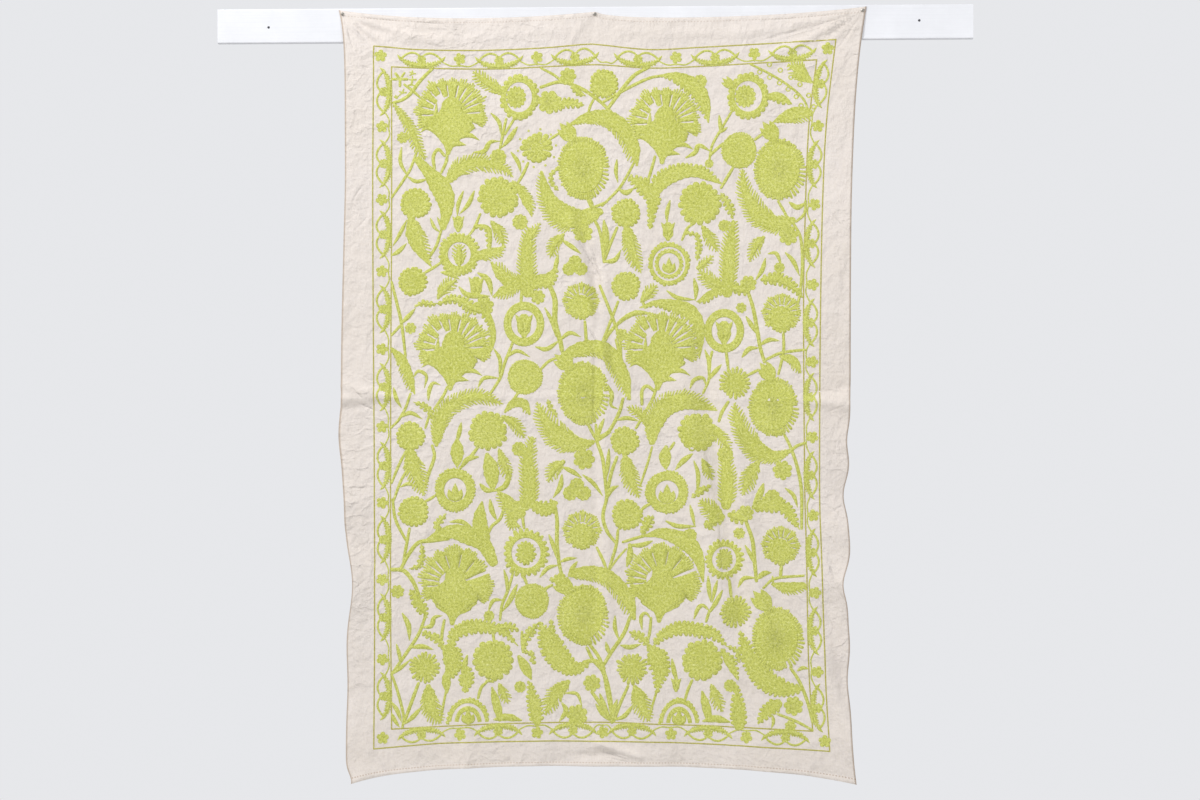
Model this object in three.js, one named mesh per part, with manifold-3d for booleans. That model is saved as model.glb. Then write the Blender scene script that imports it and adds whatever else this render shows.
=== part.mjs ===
// An embroidered suzani wall cloth, tacked by its top edge to a plain painted batten with two screws.
//
// Millimetres, +Z up, +Y towards the wall and +X to the viewer's right. The origin is the middle of the
// batten's back face. The cloth is one hemmed sheet: it hangs from three tacks, one at each top corner and
// one near the middle, so its top edge sags in two swags, its sides ripple and its hem lifts in the middle.
import * as THREE from "three";
import { mergeVertices } from "three/addons/utils/BufferGeometryUtils.js";
import Module from "manifold-3d";

// Driving dimensions
const CLOTH = { width: 1420, length: 2130, thickness: 1.6 };
const BATTEN = { length: 2080, height: 94, depth: 19, edgeRadius: 3 };
const TACK = { shankRadius: 0.9, shankLength: 15, pointLength: 3, holeRadius: 1.3 };
const TACK_HEAD = { radius: 4.8, rim: 0.9, shoulderRadius: 3.4, shoulder: 1.8, height: 2.2 };
const TACK_HEAD_GAP = 0.8;
const TACK_POINT_GAP = 0.5;
const SCREW = { headRadius: 3.2, headDepth: 2.2, shankRadius: 1.7, sunk: 0.4, backGap: 0.6, holeGap: 0.5 };
const SCREW_CROSS = { length: 3.2, width: 0.8, depth: 1.1 };
const FIT_GAP = 0.3;

// How round the turned pieces and the drilled holes are, and how near two corners are the same one.
const TURNED_SIDES = 16;
const HOLE_SIDES = 10;
const SAME_CORNER = 1e-4;

// The cloth hangs a little to the right of the batten's middle and against its front face.
const CLOTH_MIDDLE_X = 22;
const CLOTH_PLANE_Y = -(BATTEN.depth + FIT_GAP + CLOTH.thickness / 2);
const HALF_WIDTH = CLOTH.width / 2;

// Where the tacks go through the cloth: across from its middle, and down from its top edge.
const TACKS = [
  { name: "tack_left", side: -1, across: -702, down: 9 },
  { name: "tack_middle", side: 0, across: -4, down: 7 },
  { name: "tack_right", side: 1, across: 702, down: 9 },
];

// Where the screws go through the batten, near its two ends.
const SCREWS = [
  { name: "screw_left", x: -898, z: -4 },
  { name: "screw_right", x: 893, z: 3 },
];

// In the plane of the wall. The hung cloth is a little narrower than its cut width, and three of its
// corners are pulled outwards.
const HUNG = { leftEdge: -708, rightEdge: 681 };
const CORNER_FLARES = [
  { name: "top right", side: 1, fromTop: true, pull: 46, reach: 235, power: 1.5 },
  { name: "top left", side: -1, fromTop: true, pull: 17, reach: 60, power: 3 },
  { name: "bottom right", side: 1, fromTop: false, pull: 16, reach: 110, power: 2 },
];

// Heights of the top and bottom edges, from the batten's middle. The steady part is felt all the way
// down the cloth, and the edge part dies away within EDGE_REACH. A skew under 1 brings the lowest point
// of a swag nearer to the middle tack.
const TOP_EDGE = { corner: 33, middle: 33, cornerLift: 9, liftPower: 6 };
const SWAGS = [
  { side: -1, sag: 12, edgeDrop: 4, skew: 1 },
  { side: 1, sag: 13, edgeDrop: 5, skew: 0.6 },
];
const BOTTOM_EDGE = { middle: -2053, cornerDrop: 21, dropPower: 2.5 };
const HEM_EDGE = { middleLift: 11, cornerDrop: 28, dropPower: 4 };
const EDGE_REACH = 70;

// Ripples along the two sides: where down the cloth, how long, how far the edge is drawn in and how
// far it curls forward of the cloth's plane.
const SIDE_RIPPLES = [
  { side: -1, down: 470, spread: 110, drawnIn: 2, curl: 5 },
  { side: -1, down: 1060, spread: 420, drawnIn: -13, curl: 0 },
  { side: -1, down: 1075, spread: 26, drawnIn: 2, curl: 9 },
  { side: -1, down: 1180, spread: 70, drawnIn: -9, curl: -7 },
  { side: -1, down: 1370, spread: 50, drawnIn: 3, curl: 8 },
  { side: -1, down: 1590, spread: 110, drawnIn: 22, curl: 13 },
  { side: -1, down: 1870, spread: 90, drawnIn: 4, curl: -6 },
  { side: -1, down: 2125, spread: 26, drawnIn: 16, curl: 8 },
  { side: 1, down: 560, spread: 120, drawnIn: 1, curl: 6 },
  { side: 1, down: 1085, spread: 34, drawnIn: 2, curl: 12 },
  { side: 1, down: 1195, spread: 50, drawnIn: 10, curl: 3 },
  { side: 1, down: 1345, spread: 60, drawnIn: 19, curl: -9 },
  { side: 1, down: 1440, spread: 45, drawnIn: 4, curl: 11 },
  { side: 1, down: 1590, spread: 54, drawnIn: 21, curl: 15 },
  { side: 1, down: 1690, spread: 60, drawnIn: 6, curl: 0 },
  { side: 1, down: 1860, spread: 70, drawnIn: 9, curl: -8 },
  { side: 1, down: 2010, spread: 90, drawnIn: 3, curl: 9 },
];
const RIPPLE_REACH = 72;

// Pulled folds that fan out from the two corner tacks: the angle below the horizontal, the fold's length,
// its half width as an angle, and its height towards the viewer, greatest at FAN_PEAK of its length.
const FAN_PEAK = 0.35;
const FAN_FOLDS = [
  { side: -1, angle: 4, reach: 230, spread: 3.5, height: -5 },
  { side: -1, angle: 13, reach: 210, spread: 4.5, height: 8 },
  { side: -1, angle: 26, reach: 150, spread: 5, height: -4 },
  { side: -1, angle: 34, reach: 150, spread: 5, height: 7 },
  { side: -1, angle: 43, reach: 140, spread: 4, height: -6 },
  { side: -1, angle: 53, reach: 150, spread: 5, height: 7 },
  { side: -1, angle: 72, reach: 120, spread: 6, height: -3 },
  { side: 1, angle: 8, reach: 240, spread: 4, height: 6 },
  { side: 1, angle: 17, reach: 260, spread: 4, height: -7 },
  { side: 1, angle: 26, reach: 230, spread: 5, height: 9 },
  { side: 1, angle: 35, reach: 200, spread: 4, height: -7 },
  { side: 1, angle: 47, reach: 150, spread: 6, height: 5 },
  { side: 1, angle: 70, reach: 110, spread: 7, height: 3 },
];

// Straight folds and creases, each from one point of the flat cloth to another.
const FOLDS = [
  { name: "middle crease", from: [-3, 700], to: [-3, 1790], halfWidth: 13, height: -5 },
  { name: "middle crease, lit side", from: [22, 760], to: [24, 1740], halfWidth: 17, height: 4.5 },
  { name: "slanting pleat", from: [-72, 600], to: [12, 960], halfWidth: 15, height: 7 },
  { name: "slanting pleat, low side", from: [-42, 590], to: [44, 950], halfWidth: 14, height: -6 },
  { name: "slanting pleat, foot", from: [10, 960], to: [60, 1110], halfWidth: 14, height: 5 },
  { name: "long trough", from: [296, 960], to: [415, 1700], halfWidth: 24, height: -13 },
  { name: "long trough, left shoulder", from: [240, 1050], to: [350, 1660], halfWidth: 28, height: 10 },
  { name: "long trough, right shoulder", from: [384, 1180], to: [470, 1720], halfWidth: 28, height: 11 },
  { name: "half-length crease", from: [-690, 1073], to: [690, 1084], halfWidth: 9, height: 2.5 },
  { name: "left margin pinch", from: [-705, 1040], to: [-600, 1066], halfWidth: 10, height: 5 },
  { name: "left margin pinch, low side", from: [-705, 1100], to: [-615, 1092], halfWidth: 11, height: -4 },
  { name: "right margin pinch", from: [705, 1046], to: [610, 1062], halfWidth: 10, height: -5 },
  { name: "right margin pinch, high side", from: [705, 1098], to: [600, 1090], halfWidth: 11, height: 5 },
  { name: "left swag fold", from: [-540, 62], to: [-110, 44], halfWidth: 17, height: 2.5 },
  { name: "left swag hollow", from: [-600, 36], to: [-330, 40], halfWidth: 12, height: -3 },
  { name: "right swag fold", from: [90, 44], to: [520, 58], halfWidth: 16, height: 2.5 },
  { name: "right swag hollow", from: [240, 76], to: [600, 64], halfWidth: 14, height: -3 },
  { name: "middle tack pleat", from: [4, 12], to: [40, 66], halfWidth: 9, height: -5 },
  { name: "quarter crease, left", from: [-365, 1960], to: [-365, 2128], halfWidth: 14, height: 3 },
  { name: "quarter crease, right", from: [377, 1960], to: [377, 2128], halfWidth: 14, height: 3 },
  { name: "hem pinch", from: [6, 2062], to: [112, 2094], halfWidth: 10, height: 9 },
  { name: "hem pinch hollow", from: [-40, 2096], to: [40, 2088], halfWidth: 14, height: -6 },
  { name: "tuck over the hem", from: [14, 1748], to: [70, 1770], halfWidth: 16, height: 5 },
  { name: "right side fold", from: [640, 1800], to: [708, 2030], halfWidth: 24, height: 9 },
  { name: "right side hollow", from: [650, 1660], to: [690, 1840], halfWidth: 20, height: -7 },
  { name: "left side slant", from: [-700, 1460], to: [-632, 1530], halfWidth: 17, height: -6 },
];

// Shallow rolls over the whole cloth, and waves along its hem.
const ROLLS = [
  { waves: 3.2, start: 0.4, height: 2.4, lean: 0.5 },
  { waves: 5.4, start: 2.1, height: 1.5, lean: -0.8 },
];
const HEM_WAVES = [
  { waves: 3.5, start: 0.8, height: 5 },
  { waves: 8.5, start: 2.6, height: 2.5 },
];
const HEM_WAVE_REACH = 120;

// The cloth lies flat round each tack, stays off the batten's lower edge and may sink behind the
// batten's face only further down.
const TACK_FLAT_RADIUS = 22;
const STAND_OFF = { height: 2.2, over: 40 };
const BATTEN_COVER = { down: 140, softness: 8 };

// The sheet's mesh: from each stop to the next there are this many cells, finer where folds are tight.
const COLUMNS = [
  { at: -HALF_WIDTH, cells: 5 },
  { at: -610, cells: 10 },
  { at: -80, cells: 8 },
  { at: 80, cells: 6 },
  { at: 250, cells: 10 },
  { at: 460, cells: 4 },
  { at: 610, cells: 5 },
  { at: HALF_WIDTH, cells: 0 },
];
const ROWS = [
  { at: 0, cells: 6 },
  { at: 120, cells: 12 },
  { at: 1030, cells: 5 },
  { at: 1130, cells: 7 },
  { at: 1500, cells: 12 },
  { at: 2030, cells: 5 },
  { at: CLOTH.length, cells: 0 },
];

const bell = (distance, spread) => Math.exp(-((distance / spread) ** 2));
const fade = (distance, reach) => Math.exp(-distance / reach);

// How far a point of the flat cloth is from a fold's line, with the ends of the line drawn out softly.
function foldShare(fold, across, down) {
  const [ax, ay] = fold.from;
  const [bx, by] = fold.to;
  const length = Math.hypot(bx - ax, by - ay);
  const along = ((across - ax) * (bx - ax) + (down - ay) * (by - ay)) / length;
  const beside = ((across - ax) * (by - ay) - (down - ay) * (bx - ax)) / length;
  const past = Math.max(0, -along, along - length);
  return bell(beside, fold.halfWidth) * bell(past, 2 * fold.halfWidth);
}

// The fans of pulled folds at the corner tacks.
function fanHeight(across, down) {
  let height = 0;
  for (const fold of FAN_FOLDS) {
    const tack = TACKS.find((entry) => entry.side === fold.side);
    const inward = (tack.across - across) * fold.side;
    const below = down - tack.down;
    const radius = Math.hypot(inward, below);
    const angle = THREE.MathUtils.radToDeg(Math.atan2(below, inward));
    const rise = radius / (FAN_PEAK * fold.reach);
    height += fold.height * rise * Math.exp(1 - rise) * bell(angle - fold.angle, fold.spread);
  }
  return height;
}

// Height of the cloth towards the viewer, over its plane.
function relief(across, down) {
  const share = down / CLOTH.length;
  let height = fanHeight(across, down);
  for (const fold of FOLDS) height += fold.height * foldShare(fold, across, down);
  for (const ripple of SIDE_RIPPLES) {
    const fromEdge = HALF_WIDTH - ripple.side * across;
    height += ripple.curl * bell(down - ripple.down, ripple.spread) * fade(fromEdge, RIPPLE_REACH);
  }
  const middleShare = Math.sin(Math.PI * share);
  for (const roll of ROLLS) {
    const phase = roll.waves * Math.PI * (across / CLOTH.width + roll.lean * share) + roll.start;
    height += roll.height * middleShare * Math.sin(phase);
  }
  for (const wave of HEM_WAVES) {
    const phase = (wave.waves * 2 * Math.PI * across) / CLOTH.width + wave.start;
    height += wave.height * fade(CLOTH.length - down, HEM_WAVE_REACH) * Math.sin(phase);
  }
  const overBatten = 1 / (1 + Math.exp((down - BATTEN_COVER.down) / BATTEN_COVER.softness));
  height -= Math.min(0, height) * overBatten;
  height += STAND_OFF.height * (1 - fade(down, STAND_OFF.over));
  for (const tack of TACKS) {
    const distance = Math.hypot(across - tack.across, down - tack.down);
    height *= 1 - bell(distance, TACK_FLAT_RADIUS);
  }
  return height;
}

// Where a point of the flat cloth hangs.
function hang(across, down) {
  const side = across / HALF_WIDTH;
  const share = down / CLOTH.length;
  const toBottom = CLOTH.length - down;
  const away = Math.abs(side);

  let x = THREE.MathUtils.lerp(HUNG.leftEdge, HUNG.rightEdge, (side + 1) / 2);
  for (const flare of CORNER_FLARES) {
    const outward = Math.max(0, side * flare.side) ** flare.power;
    x += flare.side * flare.pull * outward * fade(flare.fromTop ? down : toBottom, flare.reach);
  }
  for (const ripple of SIDE_RIPPLES) {
    const fromEdge = HALF_WIDTH - ripple.side * across;
    const drawn = ripple.drawnIn * bell(down - ripple.down, ripple.spread);
    x -= ripple.side * drawn * fade(fromEdge, RIPPLE_REACH);
  }

  const { sag, edgeDrop, skew } = SWAGS.find((entry) => entry.side === (side < 0 ? -1 : 1));
  const swag = 4 * away ** skew * (1 - away ** skew);
  const steadyTop = THREE.MathUtils.lerp(TOP_EDGE.middle, TOP_EDGE.corner, away) - sag * swag;
  const edgeTop = TOP_EDGE.cornerLift * away ** TOP_EDGE.liftPower - edgeDrop * swag;
  const steadyBottom = BOTTOM_EDGE.middle - BOTTOM_EDGE.cornerDrop * away ** BOTTOM_EDGE.dropPower;
  const edgeBottom = HEM_EDGE.middleLift - HEM_EDGE.cornerDrop * away ** HEM_EDGE.dropPower;
  let z = THREE.MathUtils.lerp(steadyTop, steadyBottom, share);
  z += edgeTop * fade(down, EDGE_REACH) + edgeBottom * fade(toBottom, EDGE_REACH);

  return new THREE.Vector3(x + CLOTH_MIDDLE_X, CLOTH_PLANE_Y - relief(across, down), z);
}

function stopsToLines(stops) {
  const lines = [];
  stops.slice(0, -1).forEach((stop, index) => {
    const next = stops[index + 1].at;
    for (let cell = 0; cell < stop.cells; cell++)
      lines.push(THREE.MathUtils.lerp(stop.at, next, cell / stop.cells));
  });
  lines.push(stops[stops.length - 1].at);
  return lines;
}

// The hung sheet as one closed surface: a front skin, a back skin and the four edges between them.
function clothGeometry() {
  const columns = stopsToLines(COLUMNS);
  const rows = stopsToLines(ROWS);
  const positions = [];
  const triangles = [];
  const half = new THREE.Vector3(0, CLOTH.thickness / 2, 0);
  for (const offset of [half.clone().negate(), half])
    for (const down of rows)
      for (const across of columns) positions.push(...hang(across, down).add(offset).toArray());

  const skin = columns.length * rows.length;
  const at = (row, column, back) => row * columns.length + column + (back ? skin : 0);
  const quad = (a, b, c, d) => triangles.push(a, b, c, a, c, d);
  for (let row = 0; row < rows.length - 1; row++)
    for (let column = 0; column < columns.length - 1; column++) {
      quad(at(row, column), at(row + 1, column), at(row + 1, column + 1), at(row, column + 1));
      quad(at(row, column, 1), at(row, column + 1, 1), at(row + 1, column + 1, 1), at(row + 1, column, 1));
    }
  const lastRow = rows.length - 1;
  const lastColumn = columns.length - 1;
  for (let row = 0; row < lastRow; row++) {
    quad(at(row, 0), at(row, 0, 1), at(row + 1, 0, 1), at(row + 1, 0));
    quad(at(row, lastColumn), at(row + 1, lastColumn), at(row + 1, lastColumn, 1), at(row, lastColumn, 1));
  }
  for (let column = 0; column < lastColumn; column++) {
    quad(at(0, column), at(0, column + 1), at(0, column + 1, 1), at(0, column, 1));
    quad(at(lastRow, column), at(lastRow, column, 1), at(lastRow, column + 1, 1), at(lastRow, column + 1));
  }
  return new THREE.BufferGeometry()
    .setAttribute("position", new THREE.Float32BufferAttribute(positions, 3))
    .setIndex(triangles);
}

// A long board with its two front edges eased.
function battenGeometry() {
  const { length, height, depth, edgeRadius: r } = BATTEN;
  const profile = new THREE.Shape();
  profile.moveTo(0, -height / 2);
  profile.lineTo(depth - r, -height / 2);
  profile.absarc(depth - r, -height / 2 + r, r, -Math.PI / 2, 0);
  profile.lineTo(depth, height / 2 - r);
  profile.absarc(depth - r, height / 2 - r, r, 0, Math.PI / 2);
  profile.lineTo(0, height / 2);
  const board = new THREE.ExtrudeGeometry(profile, { depth: length, bevelEnabled: false, curveSegments: 3 });
  // The profile's x runs from the wall to the front, and its y runs up.
  const basis = new THREE.Matrix4().makeBasis(
    new THREE.Vector3(0, -1, 0),
    new THREE.Vector3(0, 0, 1),
    new THREE.Vector3(-1, 0, 0),
  );
  return board.translate(0, 0, -length / 2).applyMatrix4(basis);
}

// A piece turned about Y, from a profile of radius and place along Y.
function turned(profile) {
  const points = profile.map(([radius, along]) => new THREE.Vector2(radius, along));
  return new THREE.LatheGeometry(points, TURNED_SIDES);
}

// A tack with a low domed head and a pointed shank, lying along Y with the underside of its head at 0.
function tackGeometry() {
  return turned([
    [0, -TACK_HEAD.height],
    [TACK_HEAD.shoulderRadius, -TACK_HEAD.shoulder],
    [TACK_HEAD.radius, -TACK_HEAD.rim],
    [TACK_HEAD.radius, 0],
    [TACK.shankRadius, 0],
    [TACK.shankRadius, TACK.shankLength - TACK.pointLength],
    [0, TACK.shankLength],
  ]);
}

// Where the underside of a tack's head sits, a little off the cloth's front.
function tackPlace(tack) {
  const place = hang(tack.across, tack.down);
  place.y -= CLOTH.thickness / 2 + TACK_HEAD_GAP;
  return place;
}

// Where the front of a screw's head sits, a little under the batten's face.
const screwPlace = (screw) => new THREE.Vector3(screw.x, -(BATTEN.depth - SCREW.sunk), screw.z);

const wasm = await Module();
wasm.setup();

function toSolid(geometry) {
  const bare = geometry.clone();
  for (const name of Object.keys(bare.attributes)) if (name !== "position") bare.deleteAttribute(name);
  const merged = mergeVertices(bare, SAME_CORNER);
  return new wasm.Manifold(
    new wasm.Mesh({
      numProp: 3,
      vertProperties: new Float32Array(merged.attributes.position.array),
      triVerts: new Uint32Array(merged.index.array),
    }),
  );
}

function toGeometry(solid) {
  const mesh = solid.getMesh();
  return new THREE.BufferGeometry()
    .setAttribute("position", new THREE.BufferAttribute(mesh.vertProperties.slice(), 3))
    .setIndex(new THREE.BufferAttribute(mesh.triVerts.slice(), 1));
}

// The hole that a tack's shank makes through the cloth and into the batten.
function tackHole(tack) {
  const place = tackPlace(tack);
  const depth = TACK.shankLength + TACK_POINT_GAP;
  const hole = new THREE.CylinderGeometry(TACK.holeRadius, TACK.holeRadius, depth, HOLE_SIDES);
  return toSolid(hole.translate(place.x, place.y + depth / 2, place.z));
}

// The countersunk hole for a screw, from in front of the batten to behind it.
function screwHole(screw) {
  const place = screwPlace(screw);
  const headRadius = SCREW.headRadius + SCREW.holeGap;
  const shankRadius = SCREW.shankRadius + SCREW.holeGap;
  const hole = turned([
    [0, -BATTEN.depth],
    [headRadius, -BATTEN.depth],
    [headRadius, 0],
    [shankRadius, SCREW.headDepth],
    [shankRadius, 2 * BATTEN.depth],
    [0, 2 * BATTEN.depth],
  ]);
  return toSolid(hole.translate(place.x, place.y, place.z));
}

function drilled(geometry, holes) {
  return toGeometry(holes.reduce((left, hole) => left.subtract(hole), toSolid(geometry)));
}

// A countersunk screw with a cross cut in its head, cut off flush at the batten's back.
function screwGeometry() {
  const shankEnd = BATTEN.depth - SCREW.sunk - SCREW.backGap;
  const blank = turned([
    [0, 0],
    [SCREW.headRadius, 0],
    [SCREW.shankRadius, SCREW.headDepth],
    [SCREW.shankRadius, shankEnd],
    [0, shankEnd],
  ]);
  const { length, width, depth } = SCREW_CROSS;
  const level = new THREE.BoxGeometry(length, 2 * depth, width);
  const upright = new THREE.BoxGeometry(width, 2 * depth, length);
  return drilled(blank, [toSolid(level), toSolid(upright)]);
}

const clothMaterial = new THREE.MeshStandardMaterial({ color: 0xf0e6dc, roughness: 0.92, metalness: 0 });
const battenMaterial = new THREE.MeshStandardMaterial({ color: 0xf3f4f8, roughness: 0.55, metalness: 0 });
const tackMaterial = new THREE.MeshStandardMaterial({ color: 0xb9b4ae, roughness: 0.35, metalness: 0.9 });
const screwMaterial = new THREE.MeshStandardMaterial({ color: 0x6b696e, roughness: 0.45, metalness: 0.9 });

function named(name, geometry, material) {
  const mesh = new THREE.Mesh(geometry, material);
  mesh.name = name;
  return mesh;
}

const wallHanging = new THREE.Group();
const tackHoles = TACKS.map(tackHole);
const battenHoles = [...tackHoles, ...SCREWS.map(screwHole)];
wallHanging.add(named("batten", drilled(battenGeometry(), battenHoles), battenMaterial));
wallHanging.add(named("cloth", drilled(clothGeometry(), tackHoles), clothMaterial));
for (const tack of TACKS) {
  const mesh = named(tack.name, tackGeometry(), tackMaterial);
  mesh.position.copy(tackPlace(tack));
  wallHanging.add(mesh);
}
for (const screw of SCREWS) {
  const mesh = named(screw.name, screwGeometry(), screwMaterial);
  mesh.position.copy(screwPlace(screw));
  wallHanging.add(mesh);
}

export default wallHanging;
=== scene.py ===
"""An embroidered suzani wall cloth on its batten: cotton weave, raised stitching, painted board and tacks.

Lengths in the tables are millimetres on the flat cloth, counted across from its middle and down from its top
edge. hang() places such a point on the hung cloth, in metres. The tables of the creases and the embroidery
hold pixels of the photograph instead, read from it, and on_cloth() turns them into millimetres.
"""

import math

import bpy
import numpy as np
from mathutils import Matrix, Vector


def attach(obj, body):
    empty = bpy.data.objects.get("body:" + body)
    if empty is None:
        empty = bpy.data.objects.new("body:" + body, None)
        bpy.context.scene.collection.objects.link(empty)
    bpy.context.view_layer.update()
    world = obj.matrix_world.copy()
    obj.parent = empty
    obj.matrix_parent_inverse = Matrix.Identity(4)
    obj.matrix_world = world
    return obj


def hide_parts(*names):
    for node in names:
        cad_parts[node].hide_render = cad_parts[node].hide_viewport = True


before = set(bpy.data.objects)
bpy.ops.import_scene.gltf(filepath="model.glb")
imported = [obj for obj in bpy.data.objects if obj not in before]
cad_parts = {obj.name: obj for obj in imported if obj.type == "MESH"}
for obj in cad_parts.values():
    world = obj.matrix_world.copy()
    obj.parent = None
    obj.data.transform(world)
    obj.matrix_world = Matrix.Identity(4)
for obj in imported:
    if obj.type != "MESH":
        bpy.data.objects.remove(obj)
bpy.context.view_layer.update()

MM = 0.001

# Camera: it looks at the middle of the photographed area from a little right of it.
CAMERA = {"target": (0.0165, -0.02, -1.035), "distance": 6.0, "yaw": 1.75, "roll": 0.095}
PHOTO_WIDTH = 3.3
SENSOR = 36.0


def make_camera():
    target = Vector(CAMERA["target"])
    yaw = math.radians(CAMERA["yaw"])
    roll = math.radians(CAMERA["roll"])
    back = Vector((math.sin(yaw), -math.cos(yaw), 0))
    right = Vector((math.cos(yaw), math.sin(yaw), 0))
    up = Vector((0, 0, 1))
    tilted_right = right * math.cos(roll) - up * math.sin(roll)
    tilted_up = up * math.cos(roll) + right * math.sin(roll)
    data = bpy.data.cameras.new("camera")
    data.sensor_width = SENSOR
    data.lens = SENSOR * CAMERA["distance"] / PHOTO_WIDTH
    data.clip_end = 100
    camera = bpy.data.objects.new("camera", data)
    turn = Matrix((tilted_right, tilted_up, back)).transposed().to_4x4()
    camera.matrix_world = Matrix.Translation(target + back * CAMERA["distance"]) @ turn
    bpy.context.scene.collection.objects.link(camera)
    bpy.context.scene.camera = camera


# The hung cloth, as in the part's own source.
CLOTH = {"width": 1420, "length": 2130, "thickness": 1.2}
HALF_WIDTH = CLOTH["width"] / 2
LENGTH = CLOTH["length"]
CLOTH_MIDDLE_X = 22
CLOTH_PLANE_Y = -20.1
TACKS = [("tack_left", -702, 9), ("tack_middle", -4, 7), ("tack_right", 702, 9)]
SCREWS = ("screw_left", "screw_right")

HUNG_LEFT, HUNG_RIGHT = -708, 681
# side, from the top edge, pull, reach, power
CORNER_FLARES = [(1, True, 46, 235, 1.5), (-1, True, 17, 60, 3), (1, False, 16, 110, 2)]
TOP_EDGE = {"corner": 33, "middle": 33, "cornerLift": 9, "liftPower": 6}
# side: sag, edge drop, skew
SWAGS = {-1: (12, 4, 1), 1: (13, 5, 0.6)}
BOTTOM_EDGE = {"middle": -2053, "cornerDrop": 21, "dropPower": 2.5}
HEM_EDGE = {"middleLift": 11, "cornerDrop": 28, "dropPower": 4}
EDGE_REACH = 70

# side, down, spread, drawn in, curl
SIDE_RIPPLES = [
    (-1, 470, 110, 2, 5),
    (-1, 1060, 420, -13, 0),
    (-1, 1075, 26, 2, 9),
    (-1, 1180, 70, -9, -7),
    (-1, 1370, 50, 3, 8),
    (-1, 1590, 110, 22, 13),
    (-1, 1870, 90, 4, -6),
    (-1, 2125, 26, 16, 8),
    (1, 560, 120, 1, 6),
    (1, 1085, 34, 2, 12),
    (1, 1195, 50, 10, 3),
    (1, 1345, 60, 19, -9),
    (1, 1440, 45, 4, 11),
    (1, 1590, 54, 21, 15),
    (1, 1690, 60, 6, 0),
    (1, 1860, 70, 9, -8),
    (1, 2010, 90, 3, 9),
]
RIPPLE_REACH = 72

FAN_PEAK = 0.35
# side, angle below the horizontal, reach, spread in degrees, height
FAN_FOLDS = [
    (-1, 4, 230, 3.5, -5),
    (-1, 13, 210, 4.5, 8),
    (-1, 26, 150, 5, -4),
    (-1, 34, 150, 5, 7),
    (-1, 43, 140, 4, -6),
    (-1, 53, 150, 5, 7),
    (-1, 72, 120, 6, -3),
    (1, 8, 240, 4, 6),
    (1, 17, 260, 4, -7),
    (1, 26, 230, 5, 9),
    (1, 35, 200, 4, -7),
    (1, 47, 150, 6, 5),
    (1, 70, 110, 7, 3),
]

# from across, from down, to across, to down, half width, height
FOLDS = [
    (-3, 700, -3, 1790, 13, -5),
    (22, 760, 24, 1740, 17, 4.5),
    (-72, 600, 12, 960, 15, 7),
    (-42, 590, 44, 950, 14, -6),
    (10, 960, 60, 1110, 14, 5),
    (296, 960, 415, 1700, 24, -13),
    (240, 1050, 350, 1660, 28, 10),
    (384, 1180, 470, 1720, 28, 11),
    (-690, 1073, 690, 1084, 9, 2.5),
    (-705, 1040, -600, 1066, 10, 5),
    (-705, 1100, -615, 1092, 11, -4),
    (705, 1046, 610, 1062, 10, -5),
    (705, 1098, 600, 1090, 11, 5),
    (-540, 62, -110, 44, 17, 2.5),
    (-600, 36, -330, 40, 12, -3),
    (90, 44, 520, 58, 16, 2.5),
    (240, 76, 600, 64, 14, -3),
    (4, 12, 40, 66, 9, -5),
    (-365, 1960, -365, 2128, 14, 3),
    (377, 1960, 377, 2128, 14, 3),
    (6, 2062, 112, 2094, 10, 9),
    (-40, 2096, 40, 2088, 14, -6),
    (14, 1748, 70, 1770, 16, 5),
    (640, 1800, 708, 2030, 24, 9),
    (650, 1660, 690, 1840, 20, -7),
    (-700, 1460, -632, 1530, 17, -6),
]

# waves, start, height, lean
ROLLS = [(3.2, 0.4, 2.4, 0.5), (5.4, 2.1, 1.5, -0.8)]
# waves, start, height
HEM_WAVES = [(3.5, 0.8, 5), (8.5, 2.6, 2.5)]
HEM_WAVE_REACH = 120
TACK_FLAT_RADIUS = 22
STAND_OFF = {"height": 2.2, "over": 40}
BATTEN_COVER = {"down": 140, "softness": 8}


def bell(distance, spread):
    """1 in the middle of a fold, and less to both sides of it."""
    return np.exp(-((distance / spread) ** 2))


def fade(distance, reach):
    """1 at an edge, and less away from it."""
    return np.exp(-distance / reach)


def fold_share(fold, across, down):
    """How much of a fold's height points of the flat cloth have."""
    ax, ay, bx, by, half_width, _ = fold
    length = math.hypot(bx - ax, by - ay)
    along = ((across - ax) * (bx - ax) + (down - ay) * (by - ay)) / length
    beside = ((across - ax) * (by - ay) - (down - ay) * (bx - ax)) / length
    past = np.maximum(0, np.maximum(-along, along - length))
    return bell(beside, half_width) * bell(past, 2 * half_width)


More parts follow.
